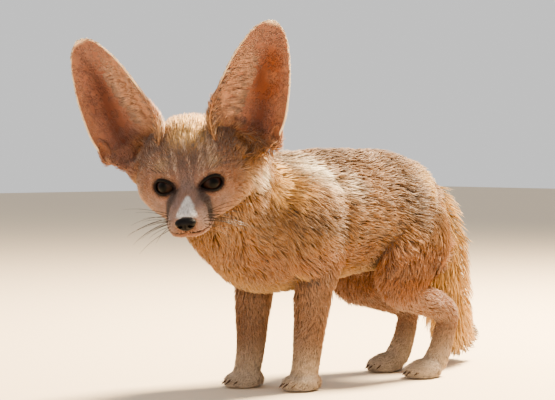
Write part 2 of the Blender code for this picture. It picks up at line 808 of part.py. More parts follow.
def body_locks(core):
    """The coat of the trunk, neck and tail."""
    draw = random.Random(SEED)
    up, left = (0, 0, 1), (1, 0, 0)
    grown = coat_of(core, TRUNK, up, TRUNK_COAT, TRUNK_LOCKS, trunk_lie, draw, (0, 0.9), on_trunk)
    grown += coat_of(core, TAIL, left, TAIL_COAT, TAIL_LOCKS, tail_lie, draw, (0.08, 0.84), on_tail)
    return grown


def cheek_locks(head):
    """The ruff that frames the face, from below the ears round the throat."""
    draw = random.Random(SEED + 1)
    tree = surface_tree(head)
    turned = HEAD.to_3x3()
    grown = []
    length, width, thickness = CHEEK_LOCKS
    wide, middle, bottom = head_outline(CHEEK_ROW)
    for angle in np.radians(np.linspace(*CHEEK_ARC, CHEEK_COUNT)):
        local = Vector((wide * math.cos(angle), CHEEK_ROW, middle + (middle - bottom) * math.sin(angle)))
        heading = turned @ Vector((0.2 * math.cos(angle), 1.0, 0.2 * math.sin(angle) - 0.25))
        size = (length * draw.uniform(0.85, 1.15), width * draw.uniform(0.9, 1.1), thickness)
        grown.append(lock(tree, HEAD @ local, heading, CHEEK_COAT, size, draw.uniform(-0.15, 0.15)))
    return grown


def head_outline(y):
    """Half width, height of the widest place and bottom of the head at a distance behind the eyes."""
    rows = smooth_rows(HEAD_ROWS, 80)
    return [np.interp(y, rows[:, 0], rows[:, k]) for k in (1, 2, 4)]


def make_body():
    """Trunk, neck, legs and tail melted into one skin, with the paws joined on."""
    pieces = [loft("trunk", inset(TRUNK, TRUNK_COAT), 26, 28, (0, 0, 1), round_ends=(0.7, 0.4))]
    pieces.append(loft("tail", inset(TAIL, TAIL_COAT), 22, 18, (1, 0, 0), round_ends=(0.5, 1.5)))
    x, y, z, wide, long, high = SHOULDER
    paws = []
    for side, across in SIDES.items():
        pieces.append(ellipsoid("shoulder", (across * x, y, z), (wide, long, high)))
        for feet, rows, length in ((FORE_FEET, FORE_LEG, 26), (HIND_FEET, HIND_LEG, 28)):
            pieces.append(loft("leg", leg_rows(rows, feet[side]), 24, 16, (0, -1, 0), round_ends=(0.5, 0.2)))
            paws += paw("paw", feet[side], length)
    body = pieces[0]
    combine(body, pieces[1:], "UNION")
    blended(body, 3.0, 5, 1600)
    locks = body_locks(body)
    combine(body, paws, "UNION")
    combine(body, locks, "UNION")
    return combine(body, [below_floor()], "DIFFERENCE")


def below_floor():
    return cell("floor", [(Vector((0, 0, 0)), Vector((0, 0, 1)))], 0)


def cell(name, planes, grow):
    """The convex region behind the planes, each a point and an outward normal, grown by some millimetres."""
    mesh = bmesh.new()
    bmesh.ops.create_cube(mesh, size=2 * FAR)
    for point, normal in planes:
        normal = normal.normalized()
        bmesh.ops.bisect_plane(
            mesh,
            geom=mesh.verts[:] + mesh.edges[:] + mesh.faces[:],
            plane_co=point + normal * grow,
            plane_no=normal,
            clear_outer=True,
            dist=1e-4,
        )
        bmesh.ops.holes_fill(mesh, edges=[e for e in mesh.edges if e.is_boundary])
    points = [v.co.copy() for v in mesh.verts]
    mesh.verts.index_update()
    faces = [tuple(v.index for v in face.verts) for face in mesh.faces]
    mesh.free()
    made = add_object(name, points, faces)
    face_outwards(made)
    return made


def head_plane(point, normal):
    turned = HEAD.to_3x3()
    return HEAD @ Vector(point), turned @ Vector(normal)


def regions():
    """The parts in the order in which they are cut off, each with its planes' points and outward normals."""
    found = {}
    for side, across in SIDES.items():
        found["ear_" + side] = [
            head_plane((across * 15, 0, 43.5), (-across * 0.54, 0, -0.84)),
            head_plane((across * 8, 0, 0), (-across, 0, 0)),
        ]
    found["head"] = [head_plane((0, 50, 0), (0, 1, -0.22))]
    found["neck"] = [
        (Vector((0, -112, 148)), Vector((0, 0.86, -0.5))),
        (Vector((0, 0, 88)), Vector((0, 0, -1))),
    ]
    for side, across in SIDES.items():
        foot = FORE_FEET[side]
        found["foreleg_" + side] = [
            (Vector((across * 4, 0, 0)), Vector((-across, 0, 0))),
            (Vector((across * 24, 0, 88)), Vector((-0.35 * across, 0, 0.94))),
            (foot + Vector((0, 27, 60)), Vector((0, 0.97, 0.24))),
            (foot + Vector((0, -20, 60)), Vector((0, -0.97, 0.24))),
        ]
        found["hindleg_" + side] = [
            (Vector((across * 9, 0, 0)), Vector((-across, 0, 0))),
            (Vector((0, 103, 110)), Vector((0, 0.987, 0.159))),
            (Vector((0, -7, 60)), Vector((0, -0.94, -0.34))),
            (Vector((across * 30, 36, 118)), Vector((-across * 0.42, -0.15, 0.9))),
        ]
    found["tail_end"] = [
        (Vector((-14, 133, 72)), Vector((0.1, -0.15, 0.98))),
        (Vector((0, 112, 54)), Vector((0, -0.987, -0.159))),
    ]
    found["tail"] = [(Vector((0, 92, 155)), Vector((0, -0.93, 0.36)))]
    return found


REGIONS = regions()

NODE_MATERIALS = {
    "ear": "ear_skin",
    "head": "coat_pale",
    "neck": "coat_sand",
    "torso": "coat_sand",
    "tail": "coat_sand",
    "foreleg": "coat_pale",
    "hindleg": "coat_sand",
    "eye": "eye",
    "nose": "nose",
}


def finish(obj, name):
    obj.name = name
    obj.data.name = name
    obj.data.materials.clear()
    obj.data.materials.append(material(NODE_MATERIALS[name.split("_")[0]]))
    obj.data.shade_smooth()
    obj.data.set_sharp_from_angle(angle=math.radians(50))


def centre_on_floor(objects):
    """Moves everything so that the origin is under the middle of the whole fox."""
    corners = np.array([v.co for obj in objects for v in obj.data.vertices])
    low, high = corners.min(axis=0), corners.max(axis=0)
    shift = Vector((-(low[0] + high[0]) / 2, -(low[1] + high[1]) / 2, 0))
    for obj in objects:
        obj.data.transform(Matrix.Translation(shift))


def main():
    clear_scene()
    whole = make_body()
    combine(whole, [make_head()], "UNION")
    keep_largest(whole)
    nodes = []
    for name, planes in REGIONS.items():
        part = copy_of(whole)
        combine(part, [cell("keep", planes, 0)], "INTERSECT")
        keep_largest(part)
        finish(part, name)
        nodes.append(part)
        combine(whole, [cell("away", planes, GAP)], "DIFFERENCE")
    keep_largest(whole)
    finish(whole, "torso")
    nodes.append(whole)
    for side in SIDES:
        eye = make_eye(side)
        finish(eye, "eye_" + side)
        nodes.append(eye)
    nose = keep_largest(make_nose())
    finish(nose, "nose")
    nodes.append(nose)
    centre_on_floor(nodes)


main()
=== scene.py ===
"""Fennec fox, life size, standing with its head turned to its left.

Laid out as an add-on and run as a script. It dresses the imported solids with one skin, a coat of
solid hair tufts, eyes with their lids, a nose pad, lips, whiskers and claws, and sets a plain stage.
Measures in the tables are millimetres in the frame in which the fox was designed: it faces -Y, its
left side is +X and the floor is Z = 0.
"""

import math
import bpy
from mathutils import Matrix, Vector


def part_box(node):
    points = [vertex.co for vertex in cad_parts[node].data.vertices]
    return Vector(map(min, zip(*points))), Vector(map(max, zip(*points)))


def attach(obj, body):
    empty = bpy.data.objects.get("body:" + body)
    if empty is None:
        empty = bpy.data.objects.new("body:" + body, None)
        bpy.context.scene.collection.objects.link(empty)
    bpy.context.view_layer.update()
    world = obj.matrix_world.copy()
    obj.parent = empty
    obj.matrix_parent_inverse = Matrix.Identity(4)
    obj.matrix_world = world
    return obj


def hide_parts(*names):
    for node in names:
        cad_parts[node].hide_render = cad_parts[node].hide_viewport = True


bl_info = {
    "name": "Fennec fox",
    "version": (1, 0, 0),
    "blender": (4, 5, 0),
    "location": "View3D > Sidebar > Fennec fox",
    "description": "Skin, coat, eyes, nose, whiskers and claws of a life-size fennec fox",
    "category": "Object",
}

import bmesh
import bpy
import numpy as np
from bpy.props import FloatProperty, FloatVectorProperty, PointerProperty
from mathutils import Matrix, Vector
from mathutils.kdtree import KDTree

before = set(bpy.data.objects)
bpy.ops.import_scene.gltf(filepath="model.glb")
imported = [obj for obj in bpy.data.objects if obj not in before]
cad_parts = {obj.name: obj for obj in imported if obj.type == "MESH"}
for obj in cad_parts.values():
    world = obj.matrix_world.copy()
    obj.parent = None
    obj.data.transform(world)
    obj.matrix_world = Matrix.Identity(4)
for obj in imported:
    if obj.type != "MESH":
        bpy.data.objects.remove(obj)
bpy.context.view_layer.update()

MM = 0.001
SEED = 7

# The head's pose and the places of its features, as the solids have them
HEAD_TURN = math.radians(47)
HEAD_PITCH = math.radians(20)
HEAD_ROLL = math.radians(5.6)
BETWEEN_EYES = Vector((38.0, -195.0, 168.0))
EYE_OFFSET = Vector((14.4, 2.2, -1.8))
EYE_RADIUS = 10.5
EYE_OUTWARD = math.radians(30)
EYE_UPWARD = math.radians(15)
LID_OPENING = (8.5, 5.6)
LID_SLANT = math.radians(9)
LID_RADIUS = 12.0
SOCKET_RADIUS = 10.75
NOSE_CENTRE = Vector((0.0, -46.0, -14.2))
NOSE_HALF = Vector((7.7, 5.2, 5.2))
EAR_BASE = Vector((35.0, 30.0, 19.0))
EAR_TIP = Vector((74.0, 44.0, 106.5))
EAR_LENGTH = (EAR_TIP - EAR_BASE).length
EAR_OUTWARD = math.radians(13)
EAR_WALL = 2.4
FORE_FEET = {"right": Vector((-24.0, -84.0, 0.0)), "left": Vector((24.0, -64.0, 0.0))}
HIND_FEET = {"right": Vector((-27.0, 77.0, 0.0)), "left": Vector((27.0, 70.0, 0.0))}
SIDES = {"left": 1.0, "right": -1.0}
FLESH = [
    "head", "neck", "torso", "tail", "tail_end", "foreleg_left", "foreleg_right",
    "hindleg_left", "hindleg_right", "ear_left", "ear_right",
]

# Trunk: spine x, y, z, half width, height above and depth below, with the coat included
TRUNK = [
    (0, 78, 142, 27, 36, 36),
    (0, 62, 143, 38, 46, 45),
    (0, 38, 141, 42, 54, 50),
    (0, 6, 139, 43, 57, 51),
    (0, -30, 138, 44, 58, 56),
    (0, -62, 138, 45, 56, 61),
    (0, -88, 142, 43, 52, 66),
    (1, -108, 150, 39, 45, 63),
    (4, -128, 160, 40, 43, 57),
    (9, -144, 171, 43, 45, 50),
    (14, -157, 179, 44, 46, 43),
]
SHOULDER = (31.0, -68.0, 133.0, 17.0, 28.0, 40.0)
TAIL = [
    (0, 70, 160, 12, 12, 12),
    (-2, 92, 157, 14, 14, 14),
    (-5, 112, 142, 17, 17, 17),
    (-9, 124, 114, 20, 20, 20),
    (-13, 131, 83, 22, 22, 22),
    (-19, 139, 54, 23, 23, 23),
    (-28, 152, 35, 22, 22, 22),
    (-40, 170, 26, 20, 20, 20),
    (-51, 186, 22, 15, 15, 15),
]
# Legs: offset from the foot sideways and along, height, half width and half depth
FORE_LEG = [
    (0, 8, 128, 18, 24),
    (0, 8, 104, 17, 21),
    (1, 5, 84, 15.5, 17),
    (1, 2, 60, 14, 14.5),
    (0, 0, 40, 12.8, 13.2),
    (0, -2, 24, 12, 12.4),
    (0, -5, 12, 11.5, 12),
]
HIND_LEG = [
    (-3, -8, 142, 14, 26),
    (1, -17, 122, 18, 34),
    (6, -34, 98, 17, 29),
    (7, -41, 82, 14.5, 20),
    (5, -20, 70, 12, 15),
    (3, 5, 61, 10.5, 12.5),
    (1, 19, 52, 9.8, 11.5),
    (0, 17, 36, 9.8, 10.5),
    (0, 12, 22, 10.5, 11),
    (0, 6, 12, 11, 12),
]
# Head: y back from the eyes, half width, height of the widest place, top and bottom
HEAD_ROWS = [
    (-43.5, 7.5, -17, -9.8, -24.0),
    (-39, 11.0, -18, -7.6, -27.0),
    (-31, 14.6, -18.5, -5.0, -29.5),
    (-21, 16.6, -18, -2.0, -31.0),
    (-12, 20.5, -15, 3.5, -32.5),
    (-3, 28.5, -11, 12.5, -33.5),
    (7, 36.5, -9, 22.5, -34.5),
    (18, 42.0, -7, 32.0, -35.5),
    (31, 44.5, -5, 39.5, -36.0),
    (45, 41.5, -3, 39.0, -34.0),
    (57, 32.0, 0, 31.0, -26.0),
    (65, 20.0, 2, 21.0, -16.0),
]
# Ear: share of its length, half width towards the crown and outwards, depth of the cup and curl
EAR_ROWS = [
    (-0.12, 9, 13, 12, 92),
    (0.00, 18, 22.5, 18, 90),
    (0.14, 26, 28.5, 19, 88),
    (0.28, 27.5, 30, 17.5, 85),
    (0.42, 26.5, 28.5, 14, 80),
    (0.56, 24.5, 26, 11, 73),
    (0.70, 21.5, 22, 8, 68),
    (0.82, 17.5, 17.5, 5.6, 64),
    (0.92, 12.5, 12, 3.4, 60),
    (0.98, 6.5, 6.0, 1.8, 60),
    (1.0, 1.6, 1.6, 1.2, 60),
]
# The ear's root under it: share, half widths as above, depth behind and in front
EAR_ROOT = [
    (-0.55, 12, 11, 12, 12),
    (-0.38, 18, 17, 17, 15),
    (-0.22, 19, 21.5, 19.5, 14.5),
    (-0.10, 18, 23.5, 20.5, 12),
    (-0.02, 17, 24, 20.5, 9),
]

# How deep the skin lies under the outline of the coat
TRUNK_DEPTH = 6.2
TAIL_DEPTH = 9.0
LEG_DEPTH = 2.3

COLOURS = {
    "sand": "#946533",
    "cream": "#EDCB94",
    # White fur; on the shoulder and the pale fur behind the cheeks it also stands for painted sunlight
    "white": "#FFF4DF",
    # Orange fur of the lower sides and chest, darkened as painted shade and warm bounce light
    "buff": "#8E5220",
    "brown": "#5A3E25",
    "tick": "#352012",
    "peach": "#AD7F66",
    "lilac": "#A58578",
    "muzzle": "#95807A",
    "ash": "#D9BEA4",
    # Dark hair and painted shade where the ears meet the head
    "ear_base": "#7A5644",
    "forehead": "#8C6D60",
    # Golden fur, as on the crown and tail; on the crown and neck it is also painted sunlight
    "crown": "#FFD38C",
    "bridge": "#8C7670",
    "tear": "#331B10",
    "lip": "#6B4030",
    "orbit": "#241410",
    "dust": "#FFFCFA",
    "ear_pink": "#96695A",
    "ear_dark": "#54291D",
    # Orange of sunlight shining through the left ear from behind: painted light
    "ear_glow": "#8C4C27",
    "ear_hair": "#BA9078",
    # Pale edges of the ears: painted rim light
    "ear_rim": "#FCEBCE",
    "leg": "#8B6A54",
    "tail_tip": "#38261C",
}


def linear(code):
    """A colour of the palette, or a hex code, as linear red, green, blue and alpha."""
    if not isinstance(code, str):
        return list(code)
    code = COLOURS.get(code, code).lstrip("#")
    parts = [int(code[k : k + 2], 16) / 255 for k in (0, 2, 4)]
    return [c / 12.92 if c <= 0.04045 else ((c + 0.055) / 1.055) ** 2.4 for c in parts] + [1.0]


def head_matrix():
    """The head's own axes, x to its left, y to its back and z up, with the origin between the eyes."""
    forward = Vector((math.sin(HEAD_TURN), -math.cos(HEAD_TURN), 0))
    left = Vector((math.cos(HEAD_TURN), math.sin(HEAD_TURN), 0))
    nose = forward * math.cos(HEAD_PITCH) - Vector((0, 0, 1)) * math.sin(HEAD_PITCH)
    crown = forward * math.sin(HEAD_PITCH) + Vector((0, 0, 1)) * math.cos(HEAD_PITCH)
    side = left * math.cos(HEAD_ROLL) + crown * math.sin(HEAD_ROLL)
    up = crown * math.cos(HEAD_ROLL) - left * math.sin(HEAD_ROLL)
    return Matrix.Translation(BETWEEN_EYES) @ Matrix((side, -nose, up)).transposed().to_4x4()


HEAD = head_matrix()


def eye_axes(across):
    """Origin at the eyeball's centre, z out through the pupil and x towards the inner corner."""
    outward = Matrix.Rotation(across * EYE_OUTWARD, 3, "Z") @ Vector((0, -1, 0))
    gaze = (outward * math.cos(EYE_UPWARD) + Vector((0, 0, math.sin(EYE_UPWARD)))).normalized()
    inner = Vector((-across, 0, 0))
    inner = (inner - gaze * inner.dot(gaze)).normalized()
    over = gaze.cross(inner)
    slant = Matrix.Rotation(-LID_SLANT if over.z > 0 else LID_SLANT, 3, gaze)
    inner = slant @ inner
    over = gaze.cross(inner)
    centre = Vector((across * EYE_OFFSET.x, EYE_OFFSET.y, EYE_OFFSET.z))
    return Matrix.Translation(centre) @ Matrix((inner, over, gaze)).transposed().to_4x4()


def ear_axes(across):
    """Origin at the ear's base, x outwards from the crown, y to its back and z to its tip."""
    base = Vector((across * EAR_BASE.x, EAR_BASE.y, EAR_BASE.z))
    tip = Vector((across * EAR_TIP.x, EAR_TIP.y, EAR_TIP.z))
    along = (tip - base).normalized()
    back = Matrix.Rotation(across * EAR_OUTWARD, 3, "Z") @ Vector((0, 1, 0))
    back = (back - along * back.dot(along)).normalized()
    out = back.cross(along)
    if out.x * across < 0:
        out = -out
    return Matrix.Translation(base) @ Matrix((out, back, along)).transposed().to_4x4()


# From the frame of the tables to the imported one: the left eye is in the same place in both
EYE_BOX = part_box("eye_left")
SHIFT = (Vector(EYE_BOX[0]) + Vector(EYE_BOX[1])) / 2 / MM - (HEAD @ eye_axes(1)).translation
TO_WORLD = Matrix.Scale(MM, 4) @ Matrix.Translation(SHIFT)


# Shapes


def deselect():
    bpy.ops.object.select_all(action="DESELECT")


def activate(obj):
    deselect()
    obj.select_set(True)
    bpy.context.view_layer.objects.active = obj


def new_object(name, mesh):
    obj = bpy.data.objects.new(name, mesh)
    bpy.context.scene.collection.objects.link(obj)
    return obj


def outwards(obj):
    """Turns a closed mesh's faces outwards, as triangles."""
    mesh = bmesh.new()
    mesh.from_mesh(obj.data)
    bmesh.ops.triangulate(mesh, faces=mesh.faces)
    bmesh.ops.recalc_face_normals(mesh, faces=mesh.faces)
    if mesh.calc_volume(signed=True) < 0:
        bmesh.ops.reverse_faces(mesh, faces=mesh.faces)
    mesh.to_mesh(obj.data)
    mesh.free()
    return obj


def closed_mesh(name, points, faces, place=Matrix.Identity(4)):
    """A closed mesh from points in millimetres, which place carries to the frame of the tables."""
    carry = TO_WORLD @ place
    mesh = bpy.data.meshes.new(name)
    mesh.from_pydata([carry @ Vector(p) for p in points], [], faces)
    mesh.update()
    return outwards(new_object(name, mesh))


def blob(name, centre, radii, place=Matrix.Identity(4), turn=Matrix.Identity(3), segments=32, rings=20):
    """An ellipsoid, ready to be joined, cut or shaped."""
    deselect()
    bpy.ops.mesh.primitive_uv_sphere_add(segments=segments, ring_count=rings, radius=1)
    obj = bpy.context.active_object
    obj.name = name
    sized = Matrix.Diagonal(Vector(radii).to_4d())
    sized[3][3] = 1.0
    obj.data.transform(TO_WORLD @ place @ Matrix.Translation(Vector(centre)) @ turn.to_4x4() @ sized)
    return outwards(obj)


def smooth_rows(rows, count):
    """Rows read at even steps along a Catmull-Rom curve through the given ones."""
    rows = np.array(rows, float)
    ends = np.vstack([2 * rows[0] - rows[1], rows, 2 * rows[-1] - rows[-2]])
    spans = len(rows) - 1
    found = []
    for at in np.linspace(0, spans, count):
        k = min(int(at), spans - 1)
        t = at - k
        p, q, r, s = ends[k : k + 4]
        cubic = 2 * q + (r - p) * t + (2 * p - 5 * q + 4 * r - s) * t**2 + (3 * q - p - 3 * r + s) * t**3
        found.append(0.5 * cubic)
    return np.array(found)


def tube_faces(rings, sides):
    """Faces of a closed tube whose two poles are its last two points."""
    faces = []
    for k in range(rings - 1):
        for j in range(sides):
            after = (j + 1) % sides
            faces.append((k * sides + j, k * sides + after, (k + 1) * sides + after, (k + 1) * sides + j))
    first, last = rings * sides, rings * sides + 1
    for j in range(sides):
        after = (j + 1) % sides
        faces.append((first, after, j))
        faces.append((last, (rings - 1) * sides + j, (rings - 1) * sides + after))
    return faces


def sections_of(rows, count, up):
    """Cross-sections along a tube: centre, side, over, tangent, half width, height above and below."""
    rows = smooth_rows(rows, count)
    along = np.gradient(rows[:, :3], axis=0)
    found = []
    for row, tangent in zip(rows, along):
        tangent = tangent / np.linalg.norm(tangent)
        side = np.cross(up, tangent)
        side /= np.linalg.norm(side)
        found.append((row[:3], side, np.cross(tangent, side), tangent, row[3], row[4], row[5]))
    return found


def rounded_end(section, sign, share):
    """Two shrinking cross-sections and a pole that round off one end of a tube."""
    centre, side, over, tangent, wide, high, deep = section
    reach = share * (wide + high + deep) / 3
    caps = []
    for turn in (0.45, 0.8):
        shrink = math.cos(turn * math.pi / 2)
        moved = centre + tangent * sign * reach * math.sin(turn * math.pi / 2)
        caps.append((moved, side, over, tangent, wide * shrink, high * shrink, deep * shrink))
    return caps, centre + tangent * sign * reach


def loft(name, rows, rings, sides, up, place=Matrix.Identity(4), round_ends=(0.6, 0.6)):
    """A closed tube through rows of x, y, z, half width, height above and depth below its spine."""
    sections = sections_of(rows, rings, up)
    first, first_pole = rounded_end(sections[0], -1, round_ends[0])
    last, last_pole = rounded_end(sections[-1], 1, round_ends[1])
    points = []
    for centre, side, over, tangent, wide, high, deep in first[::-1] + sections + last:
        for j in range(sides):
            c, s = math.cos(2 * math.pi * j / sides), math.sin(2 * math.pi * j / sides)
            points.append(centre + side * wide * c + over * (high if s > 0 else deep) * s)
    points += [first_pole, last_pole]
    return closed_mesh(name, points, tube_faces(rings + 4, sides), place)


def inset(rows, depth):
    """Rows of a tube with its outline drawn in by the depth of the coat."""
    return [tuple(row[:3]) + tuple(max(4.0, reach - depth) for reach in row[3:]) for row in rows]


def apply_modifiers(obj):
    activate(obj)
    for modifier in list(obj.modifiers):
        bpy.ops.object.modifier_apply(modifier=modifier.name)
    return obj


def combine(obj, others, operation):
    """One Boolean with a collection of closed meshes, which is then removed.

    The exact solver loses whole pieces here, where dozens of shapes cross, so the other one is used.
    """
    group = bpy.data.collections.new("operands")
    bpy.context.scene.collection.children.link(group)
    for other in others:
        for owner in list(other.users_collection):
            owner.objects.unlink(other)
        group.objects.link(other)
    cut = obj.modifiers.new("join", "BOOLEAN")
    cut.operation = operation
    cut.operand_type = "COLLECTION"
    cut.collection = group
    cut.solver = "MANIFOLD"
    apply_modifiers(obj)
    for other in others:
        bpy.data.objects.remove(other, do_unlink=True)
    bpy.data.collections.remove(group)
    return obj


def melted(obj, voxel, passes):
    """Melts joined shapes into one even skin."""
    remesh = obj.modifiers.new("melt", "REMESH")
    remesh.mode = "VOXEL"
    remesh.voxel_size = voxel * MM
    soften = obj.modifiers.new("soften", "SMOOTH")
    soften.factor = 0.5
    soften.iterations = passes
    return apply_modifiers(obj)


def leg_rows(rows, foot):
    side = math.copysign(1, foot.x)
    return [(foot.x + side * x, foot.y + y, z, wide, deep, deep) for x, y, z, wide, deep in rows]


TOES = ((-1.5, -0.0), (-0.5, -5.0), (0.5, -5.0), (1.5, -0.0))
FEET = [(FORE_FEET[side], 26) for side in SIDES] + [(HIND_FEET[side], 28) for side in SIDES]


def toe_places(foot, length):
    """Centre and turn of each toe of a paw."""
    for across, ahead in TOES:
        yield foot + Vector((across * 6.1, ahead - length * 0.42, 5.4)), Matrix.Rotation(-across * 0.12, 3, "Z")


def paw(foot, length):
    """Palm, toes and pads of one foot."""
    pieces = [blob("palm", foot + Vector((0, -4, 7.3)), (11.4, length * 0.5, 8.8))]
    for centre, turn in toe_places(foot, length):
        pieces.append(blob("toe", centre, (3.9, 9.2, 6.0), turn=turn))
    return pieces


def body_skin():
    """Trunk, neck, tail, legs and paws as one skin that lies under the coat."""
    first = loft("skin", inset(TRUNK, TRUNK_DEPTH), 60, 64, (0, 0, 1), round_ends=(0.7, 0.4))
    core = inset(TAIL[:-1], TAIL_DEPTH) + [(-46, 178, 24, 5, 5, 5)]
    pieces = [loft("tail", core, 60, 32, (1, 0, 0), round_ends=(0.5, 1.0))]
    x, y, z, wide, long, high = SHOULDER
    for side, across in SIDES.items():
        pieces.append(blob("shoulder", (across * x, y, z), (wide - 4.5, long + 4, high)))
        for feet, rows in ((FORE_FEET, FORE_LEG), (HIND_FEET, HIND_LEG)):
            slim = inset(leg_rows(rows, feet[side]), LEG_DEPTH)
            pieces.append(loft("leg", slim, 40, 32, (0, -1, 0), round_ends=(0.5, 0.2)))
    for foot, length in FEET:
        pieces += paw(foot, length)
    combine(first, pieces, "UNION")
    return melted(first, 2.3, 9)


def power_of(value, power):
    return math.copysign(abs(value) ** (2 / power), value)


def bump(point, centre, reach, height):
    """How far a soft round rise at the centre lifts the point."""
    away = sum(((p - c) / r) ** 2 for p, c, r in zip(point, centre, reach))
    return height * math.exp(-away)


def face_relief(point):
    """Brow, cheek bone, whisker pad and the shallow furrow of the forehead, as a shift of the point."""
    across = math.copysign(1, point.x)
    mirrored = Vector((abs(point.x), point.y, point.z))
    shift = Vector((0.2 * across, -0.7, 0.6)) * bump(mirrored, (19, -3, 11), (9, 8, 6), 2.6)
    shift += Vector((0.9 * across, -0.4, 0)) * bump(mirrored, (12, -35, -20), (7, 8, 6), 1.6)
    shift += Vector((-0.3 * across, 0.8, 0)) * bump(mirrored, (17, -10, -6), (7, 7, 6), 1.8)
    shift += Vector((0, 0.5, -0.8)) * bump(mirrored, (0, 2, 17), (5, 14, 8), 1.4)
    shift += Vector((0.9 * across, -0.4, -0.1)) * bump(mirrored, (38, 14, -8), (12, 14, 12), 2.0)
    return shift


def head_loft(rings, sides):
    rows = smooth_rows(HEAD_ROWS, rings)
    points = []
    for y, wide, middle, top, bottom in rows:
        for j in range(sides):
            angle = 2 * math.pi * (j + 0.5) / sides
            c, s = power_of(math.cos(angle), 2.15), power_of(math.sin(angle), 2.15)
            points.append(Vector((wide * c, y, middle + (top - middle if s > 0 else middle - bottom) * s)))
    for (y, wide, middle, top, bottom), ahead in ((rows[0], -1.2), (rows[-1], 4.0)):
        points.append(Vector((0, y + ahead, (top + bottom) / 2)))
    return closed_mesh("head", [p + face_relief(p) for p in points], tube_faces(rings, sides), HEAD)


def lid_outline(count):
    """An almond that is pointed at its inner corner, as x and y."""
    wide, high = LID_OPENING
    outline = []
    for j in range(count):
        angle = 2 * math.pi * j / count
        x = math.cos(angle)
        narrow = 1 - 0.30 * max(0.0, x) ** 2
        outline.append((x * wide * 1.22 ** max(0.0, x), math.sin(angle) * high * narrow))
    return outline


def lid_cutter(across):
    """A tapered almond prism that opens the lids."""
    outline = lid_outline(48)
    points = [Vector((x * 0.75, y * 0.75, 2.5)) for x, y in outline]
    points += [Vector((x * 1.12, y * 1.12, 14)) for x, y in outline]
    count = len(outline)
    faces = [tuple(range(count))[::-1], tuple(range(count, 2 * count))]
    faces += [(j, (j + 1) % count, count + (j + 1) % count, count + j) for j in range(count)]
    return closed_mesh("lid_opening", points, faces, HEAD @ eye_axes(across))


def ear_surface(steps, across_steps):
    """The ear's middle surface and the normals of its back, from base to tip and from crown side out."""
    rows = smooth_rows(EAR_ROWS, steps)
    spread = np.linspace(-1, 1, across_steps)
    grid = np.zeros((steps, across_steps, 3))
    for k, (share, inner, outer, deep, curl) in enumerate(rows):
        curl = math.radians(curl)
        for j, t in enumerate(spread):
            reach = math.sin(t * curl) / (math.sin(curl) if curl < math.pi / 2 else 1)
            back = deep * ((math.cos(t * curl) - math.cos(curl)) / (1 - math.cos(curl)) - 0.5)
            grid[k, j] = ((outer if t > 0 else inner) * reach, back, share * EAR_LENGTH)
    normals = np.cross(np.gradient(grid, axis=0), np.gradient(grid, axis=1))
    normals /= np.linalg.norm(normals, axis=2)[:, :, None] + 1e-9
    if normals[steps // 2, across_steps // 2, 1] < 0:
        normals = -normals
    return grid, normals, rows[:, 0], spread


def ear_shell(across, steps, across_steps):
    """The ear's thin wall, thinner at its rim, with the soft folds that run up inside the cup."""
    grid, normals, shares, t = ear_surface(steps, across_steps)
    wall = EAR_WALL * (1 - 0.40 * np.clip(shares, 0, 1))[:, None] * (1 - 0.45 * np.abs(t) ** 4)[None, :]
    fold = np.exp(-(((t + 0.38) / 0.16) ** 2))[None, :] + 0.5 * np.exp(-(((t - 0.45) / 0.2) ** 2))[None, :]
    fold = fold * 1.5 * np.exp(-(((shares - 0.25) / 0.32) ** 2))[:, None]
    behind = (grid + normals * wall[:, :, None] / 2).reshape(-1, 3)
    front = (grid - normals * (wall / 2 + fold)[:, :, None]).reshape(-1, 3)
    count = steps * across_steps
    faces = []
    for k in range(steps - 1):
        for j in range(across_steps - 1):
            a, b = k * across_steps + j, k * across_steps + j + 1
            c, d = (k + 1) * across_steps + j + 1, (k + 1) * across_steps + j
            faces += [(a, b, c, d), (count + a, count + d, count + c, count + b)]
    rim = [k * across_steps for k in range(steps)]
    rim += [(steps - 1) * across_steps + j for j in range(1, across_steps)]
    rim += [k * across_steps + across_steps - 1 for k in range(steps - 2, -1, -1)]
    rim += list(range(across_steps - 2, 0, -1))
    faces += [(a, b, count + b, count + a) for a, b in zip(rim, rim[1:] + rim[:1])]
    return closed_mesh("ear", np.vstack([behind, front]), faces, HEAD @ ear_axes(across))


def ear_root(across):
    rows = [(outer / 2 - inner / 2, 0, share * EAR_LENGTH, (outer + inner) / 2, behind, before)
            for share, inner, outer, behind, before in EAR_ROOT]
    return loft("ear_root", rows, 14, 40, (0, 1, 0), HEAD @ ear_axes(across), round_ends=(0.6, 0.1))


def ear_pouch(across, size, ahead=Vector((0, 0, 0))):
    """The small fold of skin low on the outer rim."""
    turn = Matrix.Rotation(math.radians(-8), 3, "Y")
    centre = (28.5, -3.5, 0.13 * EAR_LENGTH)
    place = HEAD @ Matrix.Translation(ahead) @ ear_axes(across)
    return blob("pouch", centre, size, place, turn)


def ear_canal(across):
    return blob("canal", (4, 1.0, -0.04 * EAR_LENGTH), (11, 9, 14), HEAD @ ear_axes(across))


def mouth_rows(outset):
    """The line between the lips, from one corner round the muzzle to the other."""
    half = [(17.8, -12, -21.5), (17.2, -21, -22.8), (15.4, -30, -23.2), (11.6, -38.5, -22.8), (6.4, -43.0, -21.9)]
    points = [(x + outset, y, z) for x, y, z in half] + [(0, -44.6 - outset, -21.2)]
    return points + [(-x - outset, y, z) for x, y, z in half[::-1]]


def mouth_tube(name, outset, lower, size, rings=40, sides=10):
    rows = [(x, y, z - lower) + size for x, y, z in mouth_rows(outset)]
    return loft(name, rows, rings, sides, (0, 0, 1), HEAD)


def wedge(obj, depth):
    """Widens the top of a nose shape, flattens it there and draws in its foot."""
    place = TO_WORLD @ HEAD @ Matrix.Translation(NOSE_CENTRE)
    back = place.inverted()
    for vertex in obj.data.vertices:
        point = back @ vertex.co
        point.x *= 1 + 0.20 * point.z / depth
        if point.z > 0:
            point.z *= 0.86
        vertex.co = place @ point
    return obj


